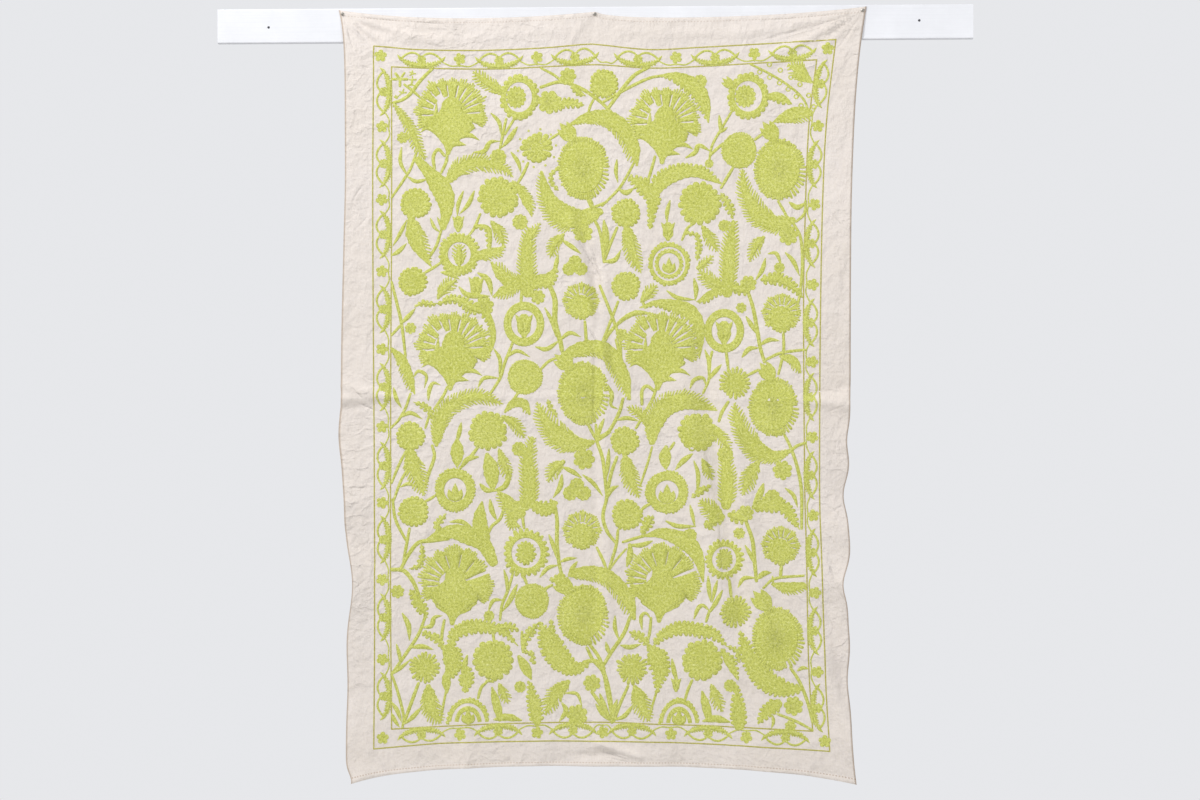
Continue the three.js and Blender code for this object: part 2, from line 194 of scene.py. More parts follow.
def relief(across, down):
    """Height of the cloth towards the viewer, over its plane, in millimetres."""
    share = down / LENGTH
    height = np.zeros_like(across)
    corner = {-1: TACKS[0], 1: TACKS[2]}
    for side, angle, reach, spread, rise in FAN_FOLDS:
        _, tack_across, tack_down = corner[side]
        inward = (tack_across - across) * side
        below = down - tack_down
        away = np.hypot(inward, below) / (FAN_PEAK * reach)
        turned = np.degrees(np.arctan2(below, inward))
        height += rise * away * np.exp(1 - away) * bell(turned - angle, spread)
    for fold in FOLDS:
        height += fold[5] * fold_share(fold, across, down)
    for side, middle, spread, _, curl in SIDE_RIPPLES:
        height += curl * bell(down - middle, spread) * fade(HALF_WIDTH - side * across, RIPPLE_REACH)
    for waves, start, rise, lean in ROLLS:
        phase = waves * math.pi * (across / CLOTH["width"] + lean * share) + start
        height += rise * np.sin(math.pi * share) * np.sin(phase)
    for waves, start, rise in HEM_WAVES:
        phase = waves * 2 * math.pi * across / CLOTH["width"] + start
        height += rise * fade(LENGTH - down, HEM_WAVE_REACH) * np.sin(phase)
    over_batten = 1 / (1 + np.exp((down - BATTEN_COVER["down"]) / BATTEN_COVER["softness"]))
    height -= np.minimum(0, height) * over_batten
    height += STAND_OFF["height"] * (1 - fade(down, STAND_OFF["over"]))
    for _, tack_across, tack_down in TACKS:
        height *= 1 - bell(np.hypot(across - tack_across, down - tack_down), TACK_FLAT_RADIUS)
    return height


def spread_out(across, down):
    """Where points of the flat cloth hang as seen from the front: x and z, in millimetres."""
    side = across / HALF_WIDTH
    share = down / LENGTH
    to_bottom = LENGTH - down
    away = np.abs(side)
    x = HUNG_LEFT + (HUNG_RIGHT - HUNG_LEFT) * (side + 1) / 2
    for flare_side, from_top, pull, reach, power in CORNER_FLARES:
        outward = np.maximum(0, side * flare_side) ** power
        x = x + flare_side * pull * outward * fade(down if from_top else to_bottom, reach)
    for ripple_side, middle, spread, drawn_in, _ in SIDE_RIPPLES:
        drawn = drawn_in * bell(down - middle, spread)
        x = x - ripple_side * drawn * fade(HALF_WIDTH - ripple_side * across, RIPPLE_REACH)
    sag, edge_drop, skew = (np.where(side < 0, SWAGS[-1][i], SWAGS[1][i]) for i in range(3))
    swag = 4 * away**skew * (1 - away**skew)
    steady_top = TOP_EDGE["middle"] + (TOP_EDGE["corner"] - TOP_EDGE["middle"]) * away - sag * swag
    edge_top = TOP_EDGE["cornerLift"] * away ** TOP_EDGE["liftPower"] - edge_drop * swag
    steady_bottom = BOTTOM_EDGE["middle"] - BOTTOM_EDGE["cornerDrop"] * away ** BOTTOM_EDGE["dropPower"]
    edge_bottom = HEM_EDGE["middleLift"] - HEM_EDGE["cornerDrop"] * away ** HEM_EDGE["dropPower"]
    z = steady_top + (steady_bottom - steady_top) * share
    z = z + edge_top * fade(down, EDGE_REACH) + edge_bottom * fade(to_bottom, EDGE_REACH)
    return x + CLOTH_MIDDLE_X, z


def hang(across, down):
    """Where points of the flat cloth's middle layer hang, in metres."""
    x, z = spread_out(across, down)
    return np.stack([x, CLOTH_PLANE_Y - relief(across, down), z], -1) * MM


def raised(across, down, height):
    """Points of the hung cloth moved out along its face, by a height in millimetres from its middle layer."""
    step = 1.0
    here = hang(across, down)
    right = hang(across + step, down) - here
    below = hang(across, down + step) - here
    out = np.cross(right, -below)
    out /= -np.linalg.norm(out, axis=-1, keepdims=True)
    out *= np.where(out[..., 1:2] > 0, -1, 1)
    return here + out * (height * MM)[..., None]


def new_mesh(name, points, faces, smooth=True):
    """A mesh of faces that all have the same number of corners."""
    mesh = bpy.data.meshes.new(name)
    faces = np.asarray(faces, np.int32)
    mesh.vertices.add(len(points))
    mesh.vertices.foreach_set("co", np.asarray(points, np.float32).ravel())
    mesh.loops.add(faces.size)
    mesh.loops.foreach_set("vertex_index", faces.ravel())
    mesh.polygons.add(len(faces))
    mesh.polygons.foreach_set("loop_start", np.arange(len(faces), dtype=np.int32) * faces.shape[1])
    mesh.polygons.foreach_set("use_smooth", np.full(len(faces), smooth))
    mesh.update()
    mesh.validate()
    return mesh


def new_object(name, mesh, material):
    """A piece of the visual model, with its material and slot."""
    piece = bpy.data.objects.new(name, mesh)
    bpy.context.scene.collection.objects.link(piece)
    mesh.materials.append(material)
    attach(piece, "root")
    return piece


def set_uv(mesh, name, per_vertex):
    """Adds a map to a mesh, from one pair of values for each of its points."""
    layer = mesh.uv_layers.new(name=name)
    corner = np.zeros(len(mesh.loops), np.int32)
    mesh.loops.foreach_get("vertex_index", corner)
    layer.uv.foreach_set("vector", np.asarray(per_vertex, np.float32)[corner].ravel())


# The cloth's mesh is finer where its folds are tight. Each row: from here on, the cell's size.
CELL_COLUMNS = [(-710, 7.5), (-600, 9), (-110, 7), (80, 9), (600, 7.5)]
CELL_ROWS = [(0, 7), (130, 9.5), (1020, 7), (1140, 9.5), (2010, 7)]
HEM = {"width": 11, "step": 1.2, "extra": 0.7, "rounding": 1, "edge_half": 0.3}
# Where the bake map holds the front and the mirrored back. Columns: scale, start.
BAKE_HALVES = [((0.48, 0.98), (0.01, 0.01)), ((-0.48, 0.98), (0.99, 0.01))]


def grid_lines(cells, end):
    """Places of the mesh's lines, in even steps between the rows of a table of cells."""
    lines = []
    for (start, size), (stop, _) in zip(cells, cells[1:] + [(end, 0)]):
        count = max(1, round((stop - start) / size))
        lines.extend(np.linspace(start, stop, count, endpoint=False))
    return np.array(lines + [end])


def hem_extra(down):
    """How much thicker the turned hem makes the cloth, on each face."""
    into = np.clip((down - (LENGTH - HEM["width"])) / HEM["step"], 0, 1)
    return HEM["extra"] * into


def make_cloth():
    """The cloth as a closed sheet: its front, its back and the rim between them."""
    columns = grid_lines(CELL_COLUMNS, HALF_WIDTH)
    hem_top = LENGTH - HEM["width"]
    hem_rows = [hem_top + HEM["step"], LENGTH - HEM["width"] / 2, LENGTH - HEM["rounding"], LENGTH]
    rows = np.concatenate([grid_lines(CELL_ROWS, hem_top), hem_rows])
    across, down = (grid.ravel() for grid in np.meshgrid(columns, rows))
    half = CLOTH["thickness"] / 2 + hem_extra(down)
    half = np.where(down == LENGTH, HEM["edge_half"], half)
    points = np.concatenate([raised(across, down, half), raised(across, down, -half)])
    wide, tall = len(columns), len(rows)
    index = np.arange(wide * tall).reshape(tall, wide)
    front = np.stack([index[:-1, :-1], index[1:, :-1], index[1:, 1:], index[:-1, 1:]], -1).reshape(-1, 4)
    back = front[:, ::-1] + wide * tall
    rim = np.concatenate([index[:, 0], index[-1, 1:], index[::-1, -1][1:], index[0, ::-1][1:]])
    edge = np.stack([rim[:-1], rim[:-1] + wide * tall, rim[1:] + wide * tall, rim[1:]], -1)
    mesh = new_mesh("cloth_sheet", points, np.concatenate([front, back, edge]))
    flat = np.stack([across / CLOTH["width"] + 0.5, 1 - down / LENGTH], -1)
    set_uv(mesh, "OFBake", np.concatenate([flat * scale + np.array(start) for scale, start in BAKE_HALVES]))
    set_uv(mesh, "flat", np.tile(np.stack([across, down], -1) * MM, (2, 1)))
    return mesh


# Materials

def srgb(red, green, blue):
    """A colour given as the eye sees it, from 0 to 255, as the shader wants it."""
    def linear(value):
        value /= 255
        return value / 12.92 if value <= 0.04045 else ((value + 0.055) / 1.055) ** 2.4
    return (linear(red), linear(green), linear(blue), 1.0)


# Sockets of the node that mixes two colours.
MIX = {"share": 0, "first": 6, "second": 7, "result": 2}


class Nodes:
    """A short way to write a node material."""

    def __init__(self, name):
        self.material = bpy.data.materials.new(name)
        self.material.use_nodes = True
        self.tree = self.material.node_tree
        self.tree.nodes.clear()
        self.output = self.add("ShaderNodeOutputMaterial")
        self.shader = self.add("ShaderNodeBsdfPrincipled")
        self.link(self.shader.outputs["BSDF"], self.output.inputs["Surface"])

    def add(self, kind, **settings):
        node = self.tree.nodes.new(kind)
        for key, value in settings.items():
            setattr(node, key, value)
        return node

    def link(self, source, target):
        self.tree.links.new(source, target)

    def put(self, socket, value):
        """Gives a socket a value, or the output of another node."""
        if isinstance(value, bpy.types.NodeSocket):
            self.link(value, socket)
        else:
            socket.default_value = value

    def math(self, operation, first, second=0.0, third=0.0):
        node = self.add("ShaderNodeMath", operation=operation)
        for socket, value in zip(node.inputs, (first, second, third)):
            self.put(socket, value)
        return node.outputs[0]

    def noise(self, vector, scale, detail=2.0, roughness=0.5):
        node = self.add("ShaderNodeTexNoise")
        self.link(vector, node.inputs["Vector"])
        node.inputs["Scale"].default_value = scale
        node.inputs["Detail"].default_value = detail
        node.inputs["Roughness"].default_value = roughness
        return node.outputs["Fac"]

    def stretch(self, vector, scale):
        node = self.add("ShaderNodeMapping")
        self.link(vector, node.inputs["Vector"])
        node.inputs["Scale"].default_value = scale
        return node.outputs["Vector"]

    def ramp(self, value, stops):
        """A colour between two stops."""
        node = self.add("ShaderNodeValToRGB")
        self.link(value, node.inputs["Fac"])
        for element, (place, colour) in zip(node.color_ramp.elements, stops):
            element.position = place
            element.color = colour
        return node.outputs["Color"]

    def mix(self, share, first, second):
        node = self.add("ShaderNodeMix", data_type="RGBA")
        for name, given in (("share", share), ("first", first), ("second", second)):
            self.put(node.inputs[MIX[name]], given)
        return node.outputs[MIX["result"]]

    def remap(self, value, low, high, to_low=0.0, to_high=1.0):
        """A range of values spread over another range, and held at its ends."""
        node = self.add("ShaderNodeMapRange")
        for name, given in (("Value", value), ("From Min", low), ("From Max", high)):
            self.put(node.inputs[name], given)
        node.inputs["To Min"].default_value = to_low
        node.inputs["To Max"].default_value = to_high
        return node.outputs["Result"]

    def ridge(self, value, half_width):
        """1 where a noise crosses its middle value, and 0 at a little more or less."""
        return self.remap(self.math("ABSOLUTE", self.math("SUBTRACT", value, 0.5)), 0.0, half_width, 1.0, 0.0)

    def bump(self, height, strength, distance, normal=None):
        node = self.add("ShaderNodeBump")
        node.inputs["Strength"].default_value = strength
        node.inputs["Distance"].default_value = distance
        self.link(height, node.inputs["Height"])
        if normal is not None:
            self.link(normal, node.inputs["Normal"])
        return node.outputs["Normal"]

    def uv(self, name):
        return self.add("ShaderNodeUVMap", uv_map=name).outputs["UV"]

    def split(self, vector):
        node = self.add("ShaderNodeSeparateXYZ")
        self.link(vector, node.inputs[0])
        return node.outputs[0], node.outputs[1]

    def attribute(self, name):
        return self.add("ShaderNodeAttribute", attribute_name=name).outputs["Fac"]


# The cotton's weave: its threads' pitch in metres.
THREAD_PITCH = 0.0009

# The cotton's main creases on the chart. Columns: from across, from down, to across, to down, half width in
# millimetres, and height in shares of the deepest usual one.
CREASE_HEIGHT = 1.5
CREASES = [
    # top edge and its corners
    (346.6, 14.5, 408, 21, 4, -0.8),
    (404, 20.5, 451, 24, 4, -0.7),
    (344, 16, 370, 50, 5, 1.0),
    (343, 17, 354, 56, 5, -0.9),
    (862, 11.6, 794, 20, 4, -1.0),
    (798, 19.5, 759, 22, 4, -0.7),
    (858, 14.5, 748, 44.5, 7, -1.2),
    (856, 15.5, 782, 39, 5, 1.0),
    (860, 17, 838, 50, 5, -1.0),
    (598.7, 15, 606, 26, 4, -0.9),
    (415, 25, 462, 29, 6, 0.6),
    (615, 19, 660, 24, 6, 0.6),
    # left margin
    (358, 169, 369.5, 185, 5, -0.8),
    (363, 184, 352, 199, 5, -0.8),
    (352, 200, 366, 220, 5, 0.8),
    (368, 215, 352, 232.5, 5, -0.7),
    (348, 386, 364, 400.5, 5, -1.3),
    (356.5, 403, 377, 412, 4, -1.2),
    (345, 489, 372, 488, 6, -0.9),
    (371.5, 539, 359, 550, 5, -0.8),
    (354, 560, 368, 574, 5, 0.8),
    (369, 577, 354, 590, 5, -0.8),
    # right margin
    (840, 180, 848, 195, 5, -0.7),
    (826, 210, 846, 232, 5, -0.8),
    (823, 374, 845, 373, 6, -0.7),
    (824, 388, 847, 392, 5, 1.2),
    (826, 412, 846, 405, 5, -1.1),
    (842, 505, 830, 512, 6, -1.1),
    (824, 530, 836, 542, 5, 0.8),
    (827, 550, 842, 600, 9, -1.3),
    # foot
    (466, 743, 466, 768, 5, -0.8),
    (581, 744, 584, 764, 11, -1.0),
    (600, 750, 632, 759, 5, 1.3),
    (604, 757, 640, 764, 5, -1.0),
]
# Those that run through the embroidery too.
FIELD_CREASES = [
    (574, 232, 603, 284, 3.5, -1.3),
    (588, 238, 604, 290, 4, 1.7),
    (586, 322, 601, 350, 4, 1.5),
    (595, 335, 593, 440, 6, -1.7),
    (703, 440, 718, 505, 8, -2.4),
    (718, 500, 724, 600, 7, -2.0),
]
# A darker tan band along each side edge: where it begins and is whole, in metres from the cloth's middle, and
# how much it colours the cloth.
SIDE_EDGE_BAND = {"inner": 0.7045, "outer": 0.7075, "share": 0.6}
# Stitches of the hems. Lengths are metres. Dash is where a stitch ends, on a wave from -1 to 1. Foot and head
# are how much they colour the cloth there.
HEM_STITCHES = {
    "from_edge": 0.0125, "half_height": 0.001, "pitch": 0.0085, "dash": (-0.4, 0.1),
    "foot": 0.5, "head": 0.25,
}


def creased_height(n, flat, creases):
    """The height of creases, in shares of the deepest usual one. The point passes from crease to
    crease, and carries the height so far as its third coordinate."""
    across, down = n.split(flat)
    point = flat
    for ax, ay, bx, by, half_width, height in creases:
        start, end = on_cloth([(ax, ay), (bx, by)]) * MM
        way = end - start
        crease = n.add("ShaderNodeMapping", vector_type="TEXTURE")
        n.link(point, crease.inputs["Vector"])
        crease.inputs["Location"].default_value = (*start, 0)
        crease.inputs["Rotation"].default_value = (0, 0, math.atan2(way[1], way[0]))
        crease.inputs["Scale"].default_value = (math.hypot(*way), half_width * MM, 1)
        parts = n.add("ShaderNodeSeparateXYZ")
        n.link(crease.outputs["Vector"], parts.inputs[0])
        along, beside, so_far = parts.outputs
        ridge = n.math("MAXIMUM", n.math("SUBTRACT", 1.0, n.math("ABSOLUTE", beside)), 0.0)
        arch = n.math("MAXIMUM", n.math("MULTIPLY", along, n.math("SUBTRACT", 1.0, along)), 0.0)
        total = n.math("MULTIPLY_ADD", ridge, n.math("MULTIPLY", arch, 4 * height), so_far)
        joined = n.add("ShaderNodeCombineXYZ")
        for socket, value in zip(joined.inputs, (across, down, total)):
            n.link(value, socket)
        point = joined.outputs[0]
    return total


def hem_stitches(n, across, from_edge, end):
    """How much a dashed line of stitches beside the hemmed edge at one end colours the cloth."""
    off_line = n.math("ABSOLUTE", n.math("SUBTRACT", from_edge, HEM_STITCHES["from_edge"]))
    line = n.remap(off_line, HEM_STITCHES["half_height"], 2 * HEM_STITCHES["half_height"], 1.0, 0.0)
    wave = n.math("SINE", n.math("MULTIPLY", across, 2 * math.pi / HEM_STITCHES["pitch"]))
    dashes = n.math("MULTIPLY", line, n.remap(wave, *HEM_STITCHES["dash"]))
    return n.math("MULTIPLY", dashes, HEM_STITCHES[end])


def cotton_material():
    """Unbleached plain weave: crossing threads, slubs, soft stains, a darker tan band along the side edges,
    hem stitches, the grain of a crumpled cloth that was pressed once, and its main creases."""
    n = Nodes("cream_cotton")
    flat = n.uv("flat")
    across, down = n.split(flat)
    warp = n.math("ABSOLUTE", n.math("SINE", n.math("MULTIPLY", across, math.pi / THREAD_PITCH)))
    weft = n.math("ABSOLUTE", n.math("SINE", n.math("MULTIPLY", down, math.pi / THREAD_PITCH)))
    weave = n.math("MULTIPLY", warp, weft)
    long_slubs = n.noise(n.stretch(flat, (1500, 22, 1)), 1.0, 3.0)
    cross_slubs = n.noise(n.stretch(flat, (22, 1500, 1)), 1.0, 3.0)
    slubs = n.math("ADD", long_slubs, cross_slubs)
    clouds = n.noise(flat, 3.5, 4.0, 0.6)
    specks = n.noise(flat, 420, 2.0, 0.7)
    base = n.ramp(clouds, [(0.3, srgb(236, 227, 219)), (0.7, srgb(242, 234, 229))])
    thready = n.mix(n.remap(slubs, 0.75, 1.25, 0.0, 0.6), base, srgb(226, 214, 201))
    specked = n.mix(n.remap(specks, 0.66, 0.78, 0.0, 0.35), thready, srgb(205, 187, 162))
    from_middle = n.math("ABSOLUTE", across)
    # Darker tan towards the side edges.
    side_edge_share = n.remap(from_middle, SIDE_EDGE_BAND["inner"], SIDE_EDGE_BAND["outer"], 0.0, SIDE_EDGE_BAND["share"])
    edged = n.mix(side_edge_share, specked, srgb(176, 152, 126))
    foot = hem_stitches(n, across, n.math("SUBTRACT", LENGTH * MM, down), "foot")
    head = hem_stitches(n, across, down, "head")
    sewn = n.math("ADD", foot, head)
    n.link(n.mix(sewn, edged, srgb(168, 138, 108)), n.shader.inputs["Base Color"])
    n.shader.inputs["Roughness"].default_value = 0.9
    n.shader.inputs["Sheen Weight"].default_value = 0.1
    n.shader.inputs["Specular IOR Level"].default_value = 0.2
    crumple = n.noise(n.stretch(flat, (9, 6, 1)), 1.0, 6.0, 0.6)
    puckers = n.noise(flat, 38, 3.0, 0.55)
    long_creases = n.ridge(n.noise(n.stretch(flat, (4.6, 3.2, 1)), 1.0, 2.0, 0.5), 0.03)
    fine_creases = n.ridge(n.noise(n.stretch(flat, (14, 19, 1)), 1.0, 3.0, 0.5), 0.07)
    creased = n.remap(n.noise(flat, 2.4, 1.0), 0.42, 0.6)
    creases = n.math("ADD", long_creases, n.math("MULTIPLY", fine_creases, creased))
    soft = n.bump(puckers, 0.8, 0.004, n.bump(crumple, 1.0, 0.019))
    main_creases = creased_height(n, flat, CREASES + FIELD_CREASES)
    soft = n.bump(main_creases, 1.0, CREASE_HEIGHT * MM, n.bump(creases, 0.8, 0.0016, soft))
    threads = n.bump(n.math("ADD", weave, n.math("MULTIPLY", slubs, 1.6)), 0.4, 0.0003, soft)
    n.link(threads, n.shader.inputs["Normal"])
    return n.material


# Rows of chain stitch: their pitch and the length of a stitch, in millimetres.
STITCH_ROW = 3.6
STITCH_LENGTH = 6.0

# Wool colours. Columns: name, dark, light, painted highlight, darker colour of the streaks, painted shade in
# dark flecks and between the rows.
WOOL = {
    "lime_thread": ((219, 222, 113), (234, 236, 133), (248, 249, 172), (193, 199, 84), (164, 170, 62)),
    "olive_thread": ((206, 200, 96), (214, 210, 110), (226, 222, 136), (186, 178, 76), (156, 148, 58)),
}


def thread_material(name):
    """Crewel wool in rows of chain stitch, streaked along them, with painted shade in the grooves between
    them, in dark flecks and at the rims of the stitching, and painted highlights and glints. The cloth's main
    creases run on through it."""
    n = Nodes(name)
    dark, light, highlight, streak, shade = (srgb(*colour) for colour in WOOL[name])
    row, along = n.split(n.uv("stitch"))
    row_wave = n.math("ABSOLUTE", n.math("SINE", n.math("MULTIPLY", row, math.pi / STITCH_ROW)))
    parity = n.math("MULTIPLY", n.math("FLOOR", n.math("DIVIDE", row, STITCH_ROW)), 0.5)
    step = n.math("ADD", n.math("DIVIDE", along, STITCH_LENGTH), parity)
    link = n.math("ABSOLUTE", n.math("SINE", n.math("MULTIPLY", step, math.pi)))
    stitches = n.math("MULTIPLY", row_wave, n.math("ADD", n.math("MULTIPLY", link, 0.5), 0.5))
    flat = n.uv("flat")
    streaks = n.noise(n.stretch(n.uv("stitch"), (0.3, 0.09, 1)), 1.0, 3.0, 0.65)
    shade_flecks = n.noise(flat, 190, 3.0, 0.7)
    glints = n.noise(flat, 150, 2.0, 0.6)
    patches = n.noise(flat, 11, 3.0, 0.5)
    base = n.ramp(patches, [(0.3, dark), (0.7, light)])
    streaked = n.mix(n.remap(streaks, 0.46, 0.7, 0.0, 0.85), base, streak)
    # Painted highlights where the streaks are low, painted shade in dark flecks, and painted glints.
    lit = n.mix(n.remap(streaks, 0.46, 0.3, 0.0, 0.6), streaked, highlight)
    shade_flecked = n.mix(n.remap(shade_flecks, 0.46, 0.7, 0.0, 0.95), lit, shade)
    glinting = n.mix(n.remap(glints, 0.52, 0.7, 0.0, 0.8), shade_flecked, highlight)
    # Painted shade between the rows of stitches, and in the grooves and at the rims that the stitching's
    # attribute marks.
    between = n.math("MULTIPLY", n.math("SUBTRACT", 1.0, stitches), 0.42)
    deep = n.math("ADD", between, n.math("MULTIPLY", n.attribute("groove"), 0.3))
    n.link(n.mix(deep, glinting, shade), n.shader.inputs["Base Color"])
    n.shader.inputs["Roughness"].default_value = 0.75
    n.shader.inputs["Sheen Weight"].default_value = 0.2
    n.shader.inputs["Specular IOR Level"].default_value = 0.3
    folded = n.bump(creased_height(n, flat, FIELD_CREASES), 1.0, CREASE_HEIGHT * MM)
    lumps = n.bump(streaks, 0.8, 0.0025, folded)
    n.link(n.bump(stitches, 0.6, 0.0006, lumps), n.shader.inputs["Normal"])
    return n.material


def paint_material():
    """White satin paint over a softwood board, brushed along its length, with faint dust and wear."""
    n = Nodes("white_paint")
    place = n.add("ShaderNodeTexCoord").outputs["Object"]
    brush = n.noise(n.stretch(place, (3, 60, 420)), 1.0, 4.0, 0.6)
    dust = n.noise(place, 7.0, 5.0, 0.65)
    base = n.ramp(dust, [(0.3, srgb(236, 237, 241)), (0.75, srgb(246, 247, 251))])
    colour = n.mix(n.remap(brush, 0.4, 0.7, 0.0, 0.25), base, srgb(222, 223, 228))
    n.link(colour, n.shader.inputs["Base Color"])
    n.link(n.remap(brush, 0.3, 0.7, 0.42, 0.6), n.shader.inputs["Roughness"])
    n.link(n.bump(brush, 0.35, 0.0006), n.shader.inputs["Normal"])
    return n.material


# Columns: name, dark, light.
METALS = {
    "tack_nickel": ((148, 142, 132), (205, 200, 192)),
    "screw_zinc": ((74, 74, 80), (128, 128, 134)),
}


def metal_material(name):
    """Dull plated steel, lightly tarnished."""
    n = Nodes(name)
    place = n.add("ShaderNodeTexCoord").outputs["Object"]
    tarnish = n.noise(place, 900.0, 3.0, 0.6)
    dark, light = (srgb(*colour) for colour in METALS[name])
    n.link(n.ramp(tarnish, [(0.3, dark), (0.7, light)]), n.shader.inputs["Base Color"])
    n.link(n.remap(tarnish, 0.3, 0.7, 0.28, 0.5), n.shader.inputs["Roughness"])
    n.shader.inputs["Metallic"].default_value = 1.0
    return n.material


def floor_material():
    """A plain pale floor, hardly clouded."""
    n = Nodes("pale_floor")
    place = n.add("ShaderNodeTexCoord").outputs["Object"]
    cloudy = n.noise(place, 1.2, 3.0, 0.5)
    colour = n.ramp(cloudy, [(0.3, srgb(222, 222, 222)), (0.7, srgb(230, 230, 230))])
    n.link(colour, n.shader.inputs["Base Color"])
    n.shader.inputs["Roughness"].default_value = 0.8
    return n.material


# The chart holds places in the photograph's pixels, from the left and from the top of its 1200 x 800. A pixel
# is this many millimetres at the wall.
PIXEL = 2.75
CHART_MIDDLE = (600, 400)
CHART_CENTRE = {"x": 16.5, "z": -1035, "tilt": math.radians(0.095)}
# Where the middle of the cloth's top edge hangs, a pixel's mean size on the flat cloth, and how often a
# place on it is worked out closer.
CHART_TOP = (597, 11.5)
CLOTH_PIXEL = 2.81
PLACING_STEPS = 6


def chart_place(across, down):
    """The chart's place of points of the flat cloth."""
    x, z = spread_out(across, down)
    dx, dz = x - CHART_CENTRE["x"], z - CHART_CENTRE["z"]
    c, s = math.cos(CHART_CENTRE["tilt"]), math.sin(CHART_CENTRE["tilt"])
    right, up = (dx * c - dz * s) / PIXEL, (dz * c + dx * s) / PIXEL
    return np.stack([CHART_MIDDLE[0] + right, CHART_MIDDLE[1] - up], -1)


def on_cloth(points):
    """The points of the flat cloth, in millimetres, that hang at the chart's points."""
    points = np.asarray(points, float)
    flat = (points - CHART_TOP) * CLOTH_PIXEL
    for _ in range(PLACING_STEPS):
        flat += (points - chart_place(flat[:, 0], flat[:, 1])) * CLOTH_PIXEL
    return flat


# Raised stitching. Heights and stitch lengths are millimetres, all other sizes are pixels of the chart.
# SKIRT is how far its rim goes down into the cloth, and PILE how thick stitching of lift 1 is.
SKIRT = -0.9
PILE = 0.52
BASE_LIFT = CLOTH["thickness"] / 2
random = np.random.default_rng(7)


class Stitching:
    """Raised stitching of one kind, gathered as patches that follow the cloth."""

    def __init__(self, name):
        self.name = name
        self.chart, self.height, self.stitch, self.groove, self.faces = [], [], [], [], []
        self.count = 0

    def patch(self, chart, height, stitch, groove):
        """One grid of points or several: places on the chart, heights, places along the stitches, and how
        much painted shade each point gets, in a groove or at a rim."""
        tall, wide = height.shape[-2:]
        chart = chart.reshape(-1, tall, wide, 2)
        index = np.arange(height.size).reshape(-1, tall, wide)
        one = chart[:, 1:, :-1] - chart[:, :-1, :-1]
        two = chart[:, :-1, 1:] - chart[:, :-1, :-1]
        turning = (one[..., 0] * two[..., 1] - one[..., 1] * two[..., 0]).sum((1, 2), keepdims=True)
        a, b, c, d = index[:, :-1, :-1], index[:, 1:, :-1], index[:, 1:, 1:], index[:, :-1, 1:]
        quads = [a, np.where(turning < 0, b, d), c, np.where(turning < 0, d, b)]
        self.faces.append(np.stack(quads, -1).reshape(-1, 4) + self.count)
        self.chart.append(chart.reshape(-1, 2))
        self.height.append(height.ravel())
        self.stitch.append(stitch.reshape(-1, 2))
        self.groove.append((groove + 0 * height).ravel())
        self.count += height.size

    def make(self, material):
        """The gathered patches as one piece on the cloth."""
        flat = on_cloth(np.concatenate(self.chart))
        height = np.concatenate(self.height)
        height = np.where(height > 0, PILE * height, height) + BASE_LIFT
        mesh = new_mesh(self.name, raised(flat[:, 0], flat[:, 1], height), np.concatenate(self.faces))
        bake = np.stack([flat[:, 0] / CLOTH["width"] + 0.5, 1 - flat[:, 1] / LENGTH], -1)
        set_uv(mesh, "OFBake", bake)
        set_uv(mesh, "flat", flat * MM)
        set_uv(mesh, "stitch", np.concatenate(self.stitch))
        # Painted shade in grooves and at rims, which the thread material darkens by.
        groove = mesh.attributes.new("groove", "FLOAT", "POINT")
        groove.data.foreach_set("value", np.concatenate(self.groove).astype(np.float32))
        return new_object(self.name, mesh, material)


# Steps of a smooth curve between two of its points, before it is cut to even steps.
SPAN_STEPS = 16


def smooth_line(points, step):
    """A smooth curve through the points, in even steps, with its directions and distances."""
    p = np.asarray(points, float)
    padded = np.concatenate([[2 * p[0] - p[1]], p, [2 * p[-1] - p[-2]]])
    fine = []
    for i in range(len(p) - 1):
        p0, p1, p2, p3 = padded[i:i + 4]
        t = np.linspace(0, 1, SPAN_STEPS, endpoint=False)[:, None]
        fine.append(0.5 * (2 * p1 + (p2 - p0) * t + (2 * p0 - 5 * p1 + 4 * p2 - p3) * t**2
                           + (3 * p1 - p0 - 3 * p2 + p3) * t**3))
    fine = np.concatenate(fine + [p[-1:]])
    run = np.concatenate([[0], np.cumsum(np.hypot(*np.diff(fine, axis=0).T))])
    along = np.linspace(0, run[-1], max(4, round(run[-1] / step)) + 1)
    line = np.stack([np.interp(along, run, fine[:, k]) for k in (0, 1)], -1)
    ahead = np.gradient(line, axis=0)
    ahead /= np.maximum(np.linalg.norm(ahead, axis=1, keepdims=True), 1e-9)
    return line, ahead, along


def spaced(values, count):
    """Values at even shares of a length, read at as many places as asked."""
    return np.interp(np.linspace(0, 1, count), np.linspace(0, 1, len(values)), values)


# Sections across a ribbon, in shares of its half width. The outer points go down into the cloth.
FULL_SECTION = np.array([1, 1, 0.92, 0.5, 0, -0.5, -0.92, -1, -1])
SLIM_SECTION = np.array([1, 0.88, 0, -0.88, -1])
# A ribbon is slim below this half width. Its steps, slim and full.
SLIM = 4.2
RIBBON_STEPS = (1.9, 1.6)
# How much lower than its crest the rim of a ribbon or disc is, as a share.
DOME = 0.16

# Rows that round off a ribbon's end: how far past it, and how wide, in shares of its half width there.
ROUND_END = [(0.5, 0.86), (0.86, 0.5), (1, 0.1)]


